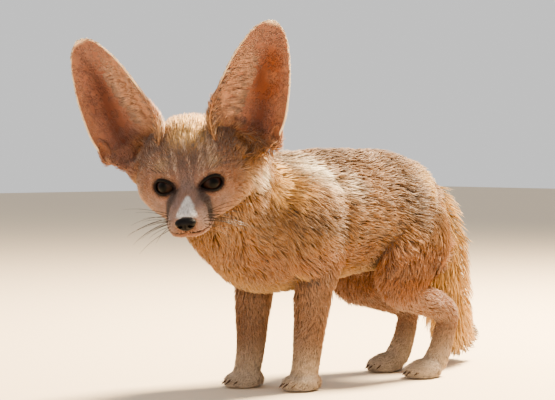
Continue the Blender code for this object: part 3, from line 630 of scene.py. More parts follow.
def smoothstep(low, high, value):
    t = np.clip((np.asarray(value, float) - low) / (high - low), 0, 1)
    return t * t * (3 - 2 * t)


def points_of(obj):
    """The vertices of an object in the frame of the tables, as an array in millimetres."""
    points = np.empty(len(obj.data.vertices) * 3)
    obj.data.vertices.foreach_get("co", points)
    return points.reshape(-1, 3) / MM - np.array(SHIFT)


def normals_of(obj):
    normals = np.empty(len(obj.data.vertices) * 3)
    obj.data.vertices.foreach_get("normal", normals)
    return normals.reshape(-1, 3)


def carried(points, place):
    """Points moved by a matrix."""
    place = np.array(place)
    return points @ place[:3, :3].T + place[:3, 3]


def head_skin():
    """The head with its lids, lips and ears, and with room for the eyes and the nose pad."""
    head = head_loft(72, 96)
    combine(head, [ear_root(across) for across in SIDES.values()], "UNION")
    melted(head, 1.35, 4)
    local = carried(points_of(head), HEAD.inverted())
    depth = 0.8 + 1.2 * smoothstep(-20, 5, local[:, 1]) + 1.2 * smoothstep(5, 35, local[:, 1])
    near_eye = np.abs(np.abs(local[:, 0]) - 21) < 11
    depth[near_eye & (np.abs(local[:, 2]) < 10) & (local[:, 1] < 12)] *= 0.5
    drawn = points_of(head) - normals_of(head) * depth[:, None]
    head.data.vertices.foreach_set("co", ((drawn + np.array(SHIFT)) * MM).ravel())
    head.data.update()
    outwards(head)
    added = [mouth_tube("lip", -1.6, -1.5, (1.4, 1.6, 1.6)), mouth_tube("lip", -2.0, 1.5, (1.3, 1.4, 1.4))]
    cut = [mouth_tube("mouth", 0.0, 0.0, (1.9, 0.5, 0.5))]
    cut.append(wedge(blob("nose_bed", NOSE_CENTRE, NOSE_HALF * 0.97, HEAD), NOSE_HALF.z))
    for across in SIDES.values():
        axes = HEAD @ eye_axes(across)
        added.append(blob("lids", (0, 0, 0), (LID_RADIUS,) * 3, axes, segments=64, rings=40))
        added.append(ear_shell(across, 72, 52))
        added.append(ear_pouch(across, (5.0, 4.5, 10.5)))
        cut.append(blob("socket", (0, 0, 0), (SOCKET_RADIUS,) * 3, axes, segments=64, rings=40))
        cut.append(lid_cutter(across))
        cut.append(ear_canal(across))
        cut.append(ear_pouch(across, (3.2, 4.5, 8.2), Vector((0, -3.0, 1.0))))
    combine(head, added, "UNION")
    return combine(head, cut, "DIFFERENCE")


def unwrap(obj, name="OFBake"):
    """An unwrap of the object's own shape."""
    obj.data.uv_layers.new(name=name)
    activate(obj)
    bpy.ops.object.mode_set(mode="EDIT")
    bpy.ops.mesh.select_all(action="SELECT")
    bpy.ops.uv.smart_project(angle_limit=math.radians(66), island_margin=0.0008)
    bpy.ops.object.mode_set(mode="OBJECT")


# How the hair lies, how long it is and what colour it has, worked out at every point of the skin


def unit(vectors):
    return vectors / (np.linalg.norm(vectors, axis=-1, keepdims=True) + 1e-9)


def mixed(base, colour, share):
    """A colour, or an array of colours, drawn towards another by a share for each point."""
    return base + np.asarray(share)[:, None] * (np.array(linear(colour)[:3]) - base)


def spot(points, centre, reach):
    """A soft spot that is 1 at its centre."""
    return np.exp(-((((points - np.array(centre)) / np.array(reach)) ** 2).sum(axis=1)))


def streak(points, ends, reach):
    """A soft band along a chain of points."""
    nearest = np.full(len(points), 1e9)
    for start, end in zip(ends[:-1], ends[1:]):
        start, end = np.array(start, float), np.array(end, float)
        along = np.clip((points - start) @ (end - start) / ((end - start) @ (end - start)), 0, 1)
        away = np.linalg.norm(points - start - along[:, None] * (end - start), axis=1)
        nearest = np.minimum(nearest, away)
    return np.exp(-((nearest / reach) ** 2))


def wander(points, size, seed):
    """A smooth, even field between -1 and 1 that changes over about the given size."""
    draw = np.random.default_rng(seed)
    total = np.zeros(len(points))
    for _ in range(6):
        way = unit(draw.normal(size=3)) * draw.uniform(0.6, 1.4) / size
        total += np.sin(points @ way * 2 * math.pi / 1.6 + draw.uniform(0, 6.28))
    return total / 3.0


def skeleton():
    """Places along the body with the lie, length, lift and width of the hair round them.

    Each row: x, y, z, radius, lie x, y, z, length, lift, width, kind (0 trunk, 1 leg, 2 tail, 3 head).
    """
    rows = []
    for centre, _, _, tangent, wide, high, deep in sections_of(TRUNK, 40, (0, 0, 1)):
        neck = float(smoothstep(-95, -140, centre[1]))
        lie = -tangent
        rows.append((*centre, (wide + high + deep) / 3, *lie, 15 + 2 * neck, 5.0, 0.90, 0))
    for centre, _, _, tangent, wide, _, _ in sections_of(TAIL, 40, (1, 0, 0)):
        rows.append((*centre, wide, *tangent, 22, 8.5, 1.2, 2))
    for feet, table in ((FORE_FEET, FORE_LEG), (HIND_FEET, HIND_LEG)):
        for foot in feet.values():
            for centre, _, _, tangent, wide, high, _ in sections_of(leg_rows(table, foot), 26, (0, -1, 0)):
                low = float(smoothstep(105, 30, centre[2]))
                size = (12 - 6.5 * low, 3.4 - 1.6 * low, 0.85 - 0.20 * low)
                rows.append((*centre, (wide + high) / 2, *tangent, *size, 1))
    for foot, length in FEET:
        rows.append((*(foot + Vector((0, -9, 5))), 12, 0, -0.9, -0.35, 4.5, 1.4, 0.62, 1))
    for y, wide, middle, top, bottom in smooth_rows(HEAD_ROWS, 26):
        centre = HEAD @ Vector((0, y, (top + bottom) / 2))
        rows.append((*centre, (wide + (top - bottom) / 2) / 2, 0, 0, 0, 5, 2, 0.7, 3))
    return np.array(rows)


class Coat:
    """What the hair does at every vertex of the skin."""

    def __init__(self, skin):
        self.points = points_of(skin)
        self.normals = normals_of(skin)
        self.local = carried(self.points, HEAD.inverted())
        self.mirrored = self.local.copy()
        self.mirrored[:, 0] = np.abs(self.mirrored[:, 0])
        self.read_skeleton()
        self.trunk = (self.kind < 1).astype(float)
        self.read_ears()
        self.read_eyes()
        self.mouth = streak(self.local, mouth_rows(-1.0), 2.2)
        self.set_lie()
        self.set_sizes()
        self.set_colours()

    def read_skeleton(self):
        rows = skeleton()
        count = len(self.points)
        self.lie = np.zeros((count, 3))
        self.sizes = np.zeros((count, 3))
        self.kind = np.zeros(count, int)
        self.head = np.zeros(count)
        for start in range(0, count, 8000):
            part = slice(start, start + 8000)
            away = np.linalg.norm(self.points[part, None, :] - rows[None, :, :3], axis=2) / rows[None, :, 3]
            self.kind[part] = rows[np.argmin(away, axis=1), 10].astype(int)
            weight = np.exp(-4.0 * (away**2 - away.min(axis=1, keepdims=True) ** 2))
            weight /= weight.sum(axis=1, keepdims=True)
            self.lie[part] = weight @ rows[:, 4:7]
            self.sizes[part] = weight @ rows[:, 7:10]
            self.head[part] = weight @ (rows[:, 10] == 3)

    def read_ears(self):
        """For points of the ears: share up the ear, place across it, and whether they are inside the cup."""
        count = len(self.points)
        self.ear = np.zeros(count)
        self.share = np.zeros(count)
        self.spread = np.zeros(count)
        self.inside = np.zeros(count, bool)
        self.along = np.zeros((count, 3))
        self.across = np.zeros((count, 3))
        self.ear_way = np.zeros((count, 3))
        self.ear_near = np.zeros(count)
        grid, normals, shares, t = ear_surface(60, 41)
        flat, flat_normals = grid.reshape(-1, 3), normals.reshape(-1, 3)
        flat_share, flat_t = np.repeat(shares, len(t)), np.tile(t, len(shares))
        for across in SIDES.values():
            axes = HEAD @ ear_axes(across)
            turn = np.array(axes)[:3, :3]
            local = carried(self.points, axes.inverted())
            near = np.where((local[:, 2] > -8) & (np.abs(local[:, 0]) < 40) & (np.abs(local[:, 1]) < 32))[0]
            for start in range(0, len(near), 3000):
                some = near[start : start + 3000]
                gaps = np.linalg.norm(local[some, None, :] - flat[None, :, :], axis=2)
                best = np.argmin(gaps, axis=1)
                away = gaps[np.arange(len(some)), best]
                reach = np.where(local[some, 2] > 2, 9.0, 4.2)
                hit = away < reach
                some, best, away, reach = some[hit], best[hit], away[hit], reach[hit]
                buried = 0.24 * smoothstep(-0.45, -0.85, flat_t[best])
                self.ear[some] = smoothstep(0.0, 0.12, flat_share[best] - buried) * smoothstep(0.0, 2.0, reach - away)
                self.share[some] = flat_share[best]
                self.spread[some] = flat_t[best]
                behind = ((local[some] - flat[best]) * flat_normals[best]).sum(axis=1)
                facing = ((self.normals[some] @ turn) * flat_normals[best]).sum(axis=1)
                self.inside[some] = facing + 0.10 * behind < 0
            self.along[near] = turn[:, 2]
            self.across[near] = turn[:, 0]
            low = local + np.array([0, 0, 6])
            pull = np.exp(-((low[:, 0] / 30) ** 2 + (low[:, 1] / 26) ** 2 + (low[:, 2] / 15) ** 2))
            self.ear_way += pull[:, None] * turn[:, 2]
            self.ear_near = np.maximum(self.ear_near, pull)

    def read_eyes(self):
        """How far each point is from the nearer eye's opening, and the way that leads away from that eye."""
        count = len(self.points)
        self.eye_gap = np.full(count, 99.0)
        self.eye_away = np.zeros((count, 3))
        outline = np.array(lid_outline(60)) * 1.05
        for across in SIDES.values():
            axes = HEAD @ eye_axes(across)
            near = carried(self.points, axes.inverted())
            some = np.where((np.linalg.norm(near, axis=1) < 26) & (near[:, 2] > 0))[0]
            flat = near[some, :2]
            gap = np.linalg.norm(flat[:, None] - outline[None], axis=2).min(axis=1)
            inside = ((flat / (np.array(LID_OPENING) * np.array([1.12, 1.0]))) ** 2).sum(axis=1) < 1
            gap = np.where(inside, 0.0, gap)
            closer = gap < self.eye_gap[some]
            some, gap, flat = some[closer], gap[closer], flat[closer]
            self.eye_gap[some] = gap
            turn = np.array(axes)[:3, :3]
            self.eye_away[some] = unit(flat @ turn[:, :2].T)

    def set_lie(self):
        """The way the hair points, along the skin."""
        normals = self.normals
        front = np.clip(-normals[:, 1], 0, 1) * (self.kind == 0)
        lie = self.lie.copy()
        trunk = (self.kind == 0).astype(float)
        lie[:, 1] -= 0.55 * front
        lie[:, 2] -= trunk * (0.28 * (1 - np.abs(normals[:, 2])) + 1.2 * front)
        radial = unit(self.local - np.array([0, -52, -10]))
        radial[:, 2] += 0.12 * smoothstep(10, 30, self.local[:, 2])
        radial[:, 2] -= 0.35 * smoothstep(20, 38, self.mirrored[:, 0]) * smoothstep(5, -10, self.local[:, 2])
        turned = radial @ np.array(HEAD.to_3x3()).T
        lie = lie * (1 - self.head)[:, None] + turned * self.head[:, None] * 1.2
        lie += 2.2 * self.ear_way * self.head[:, None]
        beside = smoothstep(7, 1, self.eye_gap)
        lie = lie * (1 - 0.8 * beside)[:, None] + self.eye_away * beside[:, None]
        inner = (self.inside & (self.spread < 0.05)).astype(float)
        outer = (self.inside & (self.spread >= 0.05)).astype(float)
        rim = smoothstep(0.82, 0.97, np.abs(self.spread))
        low = smoothstep(0.22, 0.02, self.share)
        ear_lie = self.along * (1 - 0.78 * inner * (1 - low))[:, None]
        ear_lie += self.across * (inner * (1 - low) * 1.0 + outer * 0.15)[:, None]
        ear_lie += self.across * (np.sign(self.spread) * rim * 0.45 * (1 - low))[:, None]
        lie = lie * (1 - self.ear)[:, None] + ear_lie * self.ear[:, None]
        lie -= normals * (lie * normals).sum(axis=1)[:, None]
        lie = unit(lie)
        swing = 0.30 * wander(self.points, 26, 3) + 0.16 * wander(self.points, 9, 4)
        swing *= 1 - 0.70 * np.maximum(self.head, self.ear)
        side = np.cross(normals, lie)
        self.lie = unit(lie + side * swing[:, None])

    def set_sizes(self):
        """Length, lift and width of a tuft in millimetres, and tufts to a square millimetre."""
        length, lift, width = self.sizes.T
        x, y, z = self.mirrored.T
        belly = smoothstep(0.2, 0.8, -self.normals[:, 2]) * (self.kind == 0)
        length = length * (1 - 0.30 * belly)
        face = 2.4 + 1.6 * smoothstep(-24, 2, y) + 2.0 * smoothstep(8, 30, y)
        face += 4.0 * smoothstep(26, 40, x) * smoothstep(14, 32, y) * smoothstep(12, -4, z)
        face += 2.6 * smoothstep(24, 34, z) * smoothstep(26, 12, x)
        face_lift = 0.6 + 0.5 * smoothstep(-24, 2, y) + 0.8 * smoothstep(8, 32, y)
        face_lift += 1.6 * smoothstep(26, 36, z) * smoothstep(26, 12, x) + 1.0 * self.ear_near
        face += 4.0 * smoothstep(32, 46, y) * (1 - self.ear_near)
        face_lift += 1.0 * smoothstep(32, 46, y)
        face_width = 0.40 + 0.16 * smoothstep(-20, 25, y)
        face += 2.2 * self.ear_near * smoothstep(52, 38, x) + 2.0 * smoothstep(10, 22, z) * smoothstep(30, 20, y)
        beside = smoothstep(7, 1, self.eye_gap)
        face = face * (1 - 0.62 * beside)
        face *= 1 - 0.5 * smoothstep(0.2, 0.7, self.ear_near) * smoothstep(34, 44, x)
        face_lift = face_lift * (1 - 0.55 * beside)
        ear_length = np.where(self.inside, 3.5, 3.4)
        fringe = self.inside * smoothstep(-0.02, -0.36, self.spread) * smoothstep(0.02, 0.14, self.share)
        fringe *= smoothstep(0.84, 0.52, self.share)
        base = smoothstep(0.26, 0.06, self.share) * smoothstep(0.55, 0.05, self.spread)
        ear_length = ear_length + fringe * (18.0 - 16.0 * self.share)
        ear_length += 5.5 * self.inside * base
        rim = smoothstep(0.84, 0.97, np.abs(self.spread))
        rim = np.maximum(rim, smoothstep(0.88, 0.97, self.share))
        ear_length = ear_length * (1 - 0.62 * rim) + 1.2 * rim * self.inside * fringe
        ear_lift = np.where(self.inside, 0.15, 0.8) + 1.8 * fringe + 1.0 * self.inside * base
        ear_lift *= 1 - 0.5 * rim
        ear_width = np.where(self.inside, 0.42, 0.50) + 0.12 * fringe
        head, ear = self.head, self.ear
        self.length = (length * (1 - head) + face * head) * (1 - ear) + ear_length * ear
        self.lift = (lift * (1 - head) + face_lift * head) * (1 - ear) + ear_lift * ear
        self.width = (width * (1 - head) + face_width * head) * (1 - ear) + ear_width * ear
        bare = np.where(self.inside, 1.7, 1.5)
        valley = self.inside * smoothstep(0.40, 0.15, np.abs(self.spread - 0.15)) * smoothstep(0.85, 0.5, self.share)
        bare = bare * (1 - 0.55 * valley)
        self.fringe = fringe
        self.density = 5.0 / (self.length * self.width) * (1 - ear) + bare * ear
        self.density *= 1 - 0.25 * (self.kind == 2)
        self.clear_openings()

    def clear_openings(self):
        """No hair on the lids' rims, under the nose pad, in the mouth or in the ears' canals."""
        bare = (self.eye_gap < 1.0).astype(float)
        for across in SIDES.values():
            ear = carried(self.local, ear_axes(across).inverted())
            canal = ((ear - np.array([4, 1, -4])) / np.array([9, 7, 12])) ** 2
            bare = np.maximum(bare, canal.sum(axis=1) < 1)
        nose = (self.local - np.array(NOSE_CENTRE)) / (np.array(NOSE_HALF) * 1.08)
        bare = np.maximum(bare, (nose**2).sum(axis=1) < 1)
        bare = np.maximum(bare, (self.mouth > 0.66) & (self.mirrored[:, 0] < 9))
        self.density = self.density * (1 - bare)
        self.bare = bare

    def set_colours(self):
        p, normals = self.points, self.normals
        side = np.abs(p) * np.array([1, 0, 0]) + p * np.array([0, 1, 1])
        side = side + 5.0 * np.stack([wander(p, 15, seed) for seed in (21, 22, 23)], axis=1)
        count = len(p)
        body = np.tile(np.array(linear("sand")[:3]), (count, 1))
        top = smoothstep(0.45, 0.95, normals[:, 2])
        body = mixed(body, "brown", 0.35 * top * (0.7 + 0.3 * wander(p, 30, 5)))
        # Golden fur on top of the neck, brightened as painted sunlight
        body = mixed(body, "crown", 0.70 * spot(side, (28, -102, 168), (18, 22, 14)))
        body = mixed(body, "brown", 0.80 * streak(side, [(30, 26, 168), (34, 34, 155), (36, 44, 142)], 15))
        body = mixed(body, "brown", 0.80 * streak(side, [(8, -46, 187), (26, -38, 176), (38, -28, 162)], 10))
        # Painted shadow: a dark brown band that the head casts along the side of the neck, running back behind the
        # shoulder
        band = [(36, -124, 146), (35, -98, 143), (46, -70, 138), (42, -47, 134)]
        body = mixed(body, "brown", 0.74 * streak(side, band, 13) * (0.8 + 0.2 * wander(p, 22, 6)))
        # Lower sides and chest under the chin in buff: orange fur, darkened as painted shade and warm bounce light
        body = mixed(body, "buff", 0.85 * smoothstep(128, 104, p[:, 2]) * smoothstep(-0.9, -0.3, normals[:, 2]))
        body = mixed(body, "buff", 0.60 * spot(side, (16, -146, 112), (30, 20, 24)))
        body = mixed(body, "brown", 0.26 * smoothstep(132, 158, p[:, 2]) * smoothstep(-50, -20, p[:, 1]))
        # White patches on top of the shoulder and on the neck behind the cheek: pale fur, whitened as painted sunlight
        white = 0.95 * streak(side, [(17, -77, 181), (26, -68, 176), (37, -57, 166)], 11)
        white = np.maximum(white, 0.55 * spot(side, (35, -42, 161), (9, 12, 8)))
        white = np.maximum(white, 1.0 * streak(side, [(38, -138, 182), (39, -138, 173)], 9.0))
        body = mixed(body, "white", white)
        body = mixed(body, "cream", 0.70 * spot(side, (22, 62, 166), (14, 14, 16)))
        body = mixed(body, "cream", 0.28 * smoothstep(0.60, 0.98, -normals[:, 2]))
        leg = mixed(np.tile(np.array(linear("leg")[:3]), (count, 1)), "white", 0.45 * smoothstep(50, 8, p[:, 2]))
        leg = mixed(leg, "sand", 0.6 * smoothstep(0.1, 0.9, normals[:, 1]))
        leg = mixed(leg, "buff", 0.55 * smoothstep(40, 80, p[:, 2]) * (p[:, 1] > 0))
        legs = (self.kind == 1) * smoothstep(118, 84, p[:, 2])
        body = body * (1 - legs)[:, None] + leg * legs[:, None]
        tail = (self.kind == 2).astype(float)
        body = mixed(body, "crown", 0.5 * tail)
        body = mixed(body, "tick", 0.55 * tail * spot(p, (-7, 128, 132), (16, 12, 16)))
        body = mixed(body, "tail_tip", 0.92 * tail * smoothstep(150, 178, p[:, 1]))
        face = self.face_colours()
        colour = body * (1 - self.head)[:, None] + face * self.head[:, None]
        ears = self.ear_colours()
        self.colour = colour * (1 - self.ear)[:, None] + ears * self.ear[:, None]
        ticks = 0.08 + 0.22 * top + 0.35 * spot(side, (34, 34, 156), (20, 34, 24))
        # More dark-tipped hair along the painted shadow band, which darkens that painted shade further
        ticks += 0.30 * streak(side, band, 14) + 0.15 * tail
        ticks *= (smoothstep(95, 125, p[:, 2]) + 0.5 * tail) * (1 - 0.85 * white)
        head_ticks = 0.03 + 0.34 * spot(self.local, (0, 20, 33), (22, 14, 12)) + 0.26 * spot(self.local, (0, 6, 20), (22, 12, 14))
        self.ticks = (ticks * (1 - self.head) + head_ticks * self.head) * (1 - self.ear)
        streaks = wander(self.local * np.array([1.0, 0.16, 0.16]), 2.6, 8)
        forehead = spot(self.local, (0, 8, 20), (24, 16, 18)) * self.head * (1 - self.ear)
        crown = 0.6 * spot(self.local, (0, 26, 35), (26, 14, 12)) * self.head * (1 - self.ear)
        streaked = np.clip(1.3 * np.maximum(forehead, crown), 0, 1)
        self.pale = 0.92 * streaked * smoothstep(0.08, 0.36, streaks)
        self.ticks += 0.80 * streaked * smoothstep(-0.12, -0.42, streaks)
        dust = self.dust() * self.head
        self.ticks = self.ticks * (1 - dust) + 0.24 * dust

    def dust(self):
        """The white wedge that widens down the bridge of the nose."""
        x, y, z = self.local.T
        along = np.clip((-21.5 - y) / 18, 0, 1)
        edge = 1.4 + 5.4 * along + 0.6 * wander(self.local, 3.0, 9)
        return smoothstep(edge + 0.9, edge - 0.9, np.abs(x - 0.4)) * smoothstep(-20.5, -23.0, y) * smoothstep(-12.5, -10.5, z)

    def face_colours(self):
        m, p = self.mirrored, self.local
        face = np.tile(np.array(linear("peach")[:3]), (len(m), 1))
        face = mixed(face, "cream", 0.20 * smoothstep(-22, -34, m[:, 2]))
        face = mixed(face, "cream", 0.5 * spot(m, (40, 26, -14), (12, 14, 18)))
        face = mixed(face, "forehead", 0.80 * spot(m, (7, 5, 17), (23, 15, 15)))
        face = mixed(face, "forehead", 0.55 * spot(m, (31, 22, 24), (11, 10, 12)))
        # Golden fur on the crown, brightened as painted sunlight where the light from behind strikes it
        face = mixed(face, "crown", 0.92 * spot(m, (0, 26, 36), (23, 15, 10)))
        face = mixed(face, "crown", 0.95 * spot(m, (0, 17, 30), (17, 11, 9)))
        face = mixed(face, "forehead", 0.85 * streak(m, [(21, 15, 22), (14, 22, 42)], 5.5))
        face = mixed(face, "sand", 0.8 * smoothstep(32, 46, m[:, 1]) * smoothstep(-16, 2, m[:, 2]))
        # Darker brown where the ears meet the head: dark hair, and painted shade in the hollow there
        face = mixed(face, "ear_base", 0.75 * smoothstep(0.30, 0.75, self.ear_near) * smoothstep(44, 32, m[:, 1]))
        face = mixed(face, "ear_pink", 0.85 * smoothstep(0.20, 0.50, self.ear_near) * smoothstep(38, 46, m[:, 0]))
        face = mixed(face, "bridge", 0.92 * spot(m, (0, -13, 1), (9, 11, 8)))
        face = mixed(face, "bridge", 0.80 * spot(m, (9, -24, -5), (5, 11, 5)))
        face = mixed(face, "cream", 0.50 * spot(m, (21, 2, 14), (8, 5, 4)))
        face = mixed(face, "lilac", 0.90 * spot(m, (24, -7, -12), (10, 8, 7)))
        face = mixed(face, "buff", 0.35 * spot(m, (33, 4, 1), (6, 7, 9)))
        face = mixed(face, "muzzle", 0.95 * spot(m, (11, -33, -15), (8, 12, 9)))
        stripe = [(9.5, -13.5, -3), (12.0, -19, -8), (14.5, -21.5, -14), (15.0, -25, -17)]
        face = mixed(face, "tear", np.clip(1.45 * streak(m, stripe, 4.4), 0, 0.93))
        face = mixed(face, "orbit", 0.85 * spot(m, (9.8, -12.5, -2.5), (2.2, 3.0, 2.2)))
        face = mixed(face, "orbit", 0.75 * smoothstep(1.9, 0.9, self.eye_gap))
        face = mixed(face, "lip", 0.60 * smoothstep(0.45, 0.9, self.mouth) * smoothstep(12, 8, m[:, 0]))
        face = mixed(face, "dust", 0.97 * self.dust())
        # Pale fur behind the cheeks, whitened as painted sunlight
        sunlit_ruff = (0.8 + 0.5 * wander(m, 7, 24)) * spot(m, (44, 40, -20), (11, 11, 19))
        face = mixed(face, "white", np.clip(sunlit_ruff, 0, 0.9))
        return face

    def ear_colours(self):
        left = smoothstep(-5, 5, self.local[:, 0])
        t, share = self.spread, self.share
        ear = np.tile(np.array(linear("ear_pink")[:3]), (len(t), 1))
        # Painted light: sunlight shining through the left ear from behind turns its middle orange; the right ear gets
        # only a trace
        backlit_glow = np.exp(-(((t - 0.36) / 0.40) ** 2)) * smoothstep(0.26, 0.44, share) * smoothstep(0.92, 0.70, share)
        backlit_glow += 0.8 * np.exp(-(((t - 0.72) / 0.15) ** 2)) * np.exp(-(((share - 0.22) / 0.10) ** 2))
        ear = mixed(ear, "ear_glow", np.clip((0.08 + 0.84 * left) * backlit_glow, 0, 1))
        veins = 0.45 * smoothstep(0.1, 0.7, wander(np.stack([t * 14, share * 30, left * 40], axis=1), 6.0, 12))
        dark = np.exp(-(((t - 0.42 + 0.34 * share) / 0.22) ** 2)) * smoothstep(0.92, 0.55, share)
        # Painted backlight: the dark band is weaker high in the left ear
        dark = dark * (1 - 0.38 * left * smoothstep(0.3, 0.45, share))
        # Lighter patches in the left ear's painted backlight
        lighter = smoothstep(0.1, 0.8, wander(self.local, 11, 14))
        ear = mixed(ear, "peach", np.clip(0.40 * lighter * backlit_glow * left, 0, 1))
        ear = mixed(ear, "ear_dark", np.clip(0.85 * dark + veins * backlit_glow, 0, 0.9))
        ear = mixed(ear, "ear_hair", 0.85 * smoothstep(-0.20, -0.55, t) * smoothstep(0.95, 0.60, share))
        ear = mixed(ear, "forehead", 0.35 * smoothstep(0.70, 0.92, share))
        ear = mixed(ear, "forehead", 0.70 * smoothstep(0.26, 0.04, share) * smoothstep(0.2, -0.5, t))
        # Darker at the bottom of the cup: dark hair, and painted shade in the hollow
        ear = mixed(ear, "ear_dark", 0.60 * smoothstep(0.22, 0.08, share) * np.exp(-(((t - 0.2) / 0.35) ** 2)))
        ear = mixed(ear, "peach", 0.55 * smoothstep(0.55, 0.85, t))
        outside = np.tile(np.array(linear("sand")[:3]), (len(t), 1))
        outside = mixed(outside, "cream", 0.35 * smoothstep(0.4, 0.9, np.abs(t)))
        outside = mixed(outside, "ear_pink", 0.85 * smoothstep(0.36, 0.20, share) * smoothstep(0.50, 0.75, t))
        ear = np.where(self.inside[:, None], ear, outside)
        # Painted rim light: the ears' edges turn pale only where lit is high; lower on the crown side they are brown
        # instead
        rim = np.maximum(smoothstep(0.945, 0.985, np.abs(t)), smoothstep(0.965, 0.99, share))
        lit = smoothstep(0.02, 0.2, share - 0.35 * smoothstep(-0.3, -0.8, t))
        ear = mixed(ear, "forehead", 0.75 * (1 - lit) * smoothstep(-0.3, -0.8, t))
        return mixed(ear, "ear_rim", 0.75 * rim * lit)


def paint(obj, colours):
    """Keeps a colour for every vertex of the object."""
    layer = obj.data.color_attributes.new("coat", "FLOAT_COLOR", "POINT")
    layer.data.foreach_set("color", np.hstack([colours, np.ones((len(colours), 1))]).ravel())


def triangles_of(obj):
    """Corner points and unwrapped corners of the object's triangles."""
    mesh = obj.data
    corners = np.empty(len(mesh.loops), int)
    mesh.loops.foreach_get("vertex_index", corners)
    unwrapped = np.empty(len(mesh.loops) * 2)
    mesh.uv_layers["OFBake"].data.foreach_get("uv", unwrapped)
    return corners.reshape(-1, 3), unwrapped.reshape(-1, 3, 2)


def roots_on(coat, corners, chosen, factor, draw):
    """Evenly spread roots on the chosen triangles, as triangle numbers and shares of its corners."""
    points = coat.points[corners[chosen]]
    area = np.linalg.norm(np.cross(points[:, 1] - points[:, 0], points[:, 2] - points[:, 0]), axis=1) / 2
    wanted = np.cumsum(area * coat.density[corners[chosen]].mean(axis=1) * factor)
    count = int(wanted[-1])
    steps = (np.arange(count) + draw.uniform(0, 1, count)) / count * wanted[-1]
    found = chosen[np.minimum(np.searchsorted(wanted, steps), len(chosen) - 1)]
    a, b = np.sqrt(draw.uniform(0, 1, count)), draw.uniform(0, 1, count)
    return found, np.stack([1 - a, a * (1 - b), a * b], axis=1)


# Points of a tuft: root, three round its belly, three nearer its tip, tip
LONG_TUFT = [
    (0, 2, 1), (0, 3, 2), (0, 1, 3),
    (1, 2, 5), (1, 5, 4), (2, 3, 6), (2, 6, 5), (3, 1, 4), (3, 4, 6),
    (4, 5, 7), (5, 6, 7), (6, 4, 7),
]
SHORT_TUFT = [(0, 2, 1), (0, 3, 2), (0, 1, 3), (1, 2, 4), (2, 3, 4), (3, 1, 4)]
LONG_PATCH = [(0, -1), (-1, -0.3), (0, -0.2), (1, -0.3), (-0.7, 0.4), (0, 0.5), (0.7, 0.4), (0, 1)]
SHORT_PATCH = [(0, -1), (-1, 0), (0, 0.1), (1, 0), (0, 1)]
PATCH = 0.0015


def tuft_mesh(name, stations, colours, unwrapped, faces, patch):
    """One mesh of many closed tufts, from their points, colours and places on the unwrap."""
    count, points = stations.shape[:2]
    faces = np.array(faces)
    indices = (faces[None] + (np.arange(count) * points)[:, None, None]).reshape(-1)
    mesh = bpy.data.meshes.new(name)
    mesh.vertices.add(count * points)
    mesh.vertices.foreach_set("co", ((stations + np.array(SHIFT)) * MM).ravel())
    mesh.loops.add(len(indices))
    mesh.loops.foreach_set("vertex_index", indices)
    mesh.polygons.add(len(indices) // 3)
    mesh.polygons.foreach_set("loop_start", np.arange(0, len(indices), 3))
    mesh.update(calc_edges=True)
    layer = mesh.uv_layers.new(name="OFBake")
    spots = unwrapped[:, None, :] + np.array(patch)[None] * PATCH
    layer.data.foreach_set("uv", np.clip(spots[:, faces], 0.0, 1.0).ravel())
    obj = new_object(name, mesh)
    paint(obj, colours.reshape(-1, 3))
    obj.data.shade_smooth()
    return obj


def grow(name, coat, corners, uv, chosen, factor, draw, long, clump, material, limit):
    """Grows the coat of one stretch of skin, in as many pieces as it takes."""
    if not len(chosen):
        return []
    found, shares = roots_on(coat, corners, chosen, factor, draw)

    def at(values):
        values = values[corners[found]]
        return (values * (shares if values.ndim == 2 else shares[:, :, None])).sum(axis=1)

    count = len(found)
    roots, normals, lie = at(coat.points), unit(at(coat.normals)), at(coat.lie)
    side = unit(np.cross(lie, normals))
    stray = draw.normal(0, 0.16, count)[:, None]
    lie = unit(lie + side * stray)
    side = unit(np.cross(lie, normals))
    vary = 0.25 + 0.20 * at(coat.fringe)
    length = at(coat.length) * (1 + vary * draw.uniform(-1, 1, count))
    lift = at(coat.lift) * draw.uniform(0.55, 1.15, count)
    width = at(coat.width) * draw.uniform(0.75, 1.25, count)
    bend = side * (draw.normal(0, 0.10, count) * length)[:, None]
    tip = roots + lie * length[:, None] + normals * lift[:, None] + bend
    tone = 1 + draw.normal(0, 0.06, count)
    if clump:
        tip, lock_tone = drawn_together(roots, tip, clump, at(coat.fringe), draw)
        tone = tone * lock_tone
    tip[:, 2] = np.maximum(tip[:, 2], 1.0)
    sink = normals * (0.5 + 0.4 * width)[:, None]
    belly = roots + (tip - roots) * (0.34 if long else 0.46)
    belly += normals * (lift * 0.34 - (lift * 0.34 if long else lift * 0.46) + lift * 0.28)[:, None]
    over = normals * (width * 0.38)[:, None]
    half = side * (width / 2)[:, None]
    stations = [roots - sink, belly - half, belly + over, belly + half]
    if long:
        near = roots + (tip - roots) * 0.70 + normals * (lift * 0.22)[:, None] - bend * 0.15
        stations += [near - half * 0.68, near + over * 0.6, near + half * 0.68]
    stations.append(tip)
    stations = np.stack(stations, axis=1)
    stations[:, :, 2] = np.maximum(stations[:, :, 2], 0.6)
    colours = tuft_colours(coat, at, tone, stations.shape[1], draw)
    flat = (uv[found] * shares[:, :, None]).sum(axis=1)
    faces, patch = (LONG_TUFT, LONG_PATCH) if long else (SHORT_TUFT, SHORT_PATCH)
    each = limit // len(faces)
    pieces = []
    for number, start in enumerate(range(0, count, each)):
        part = slice(start, start + each)
        piece = tuft_mesh(f"{name}_{number + 1}", stations[part], colours[part], flat[part], faces, patch)
        piece.data.materials.append(material)
        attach(piece, "root")
        pieces.append(piece)
    return pieces


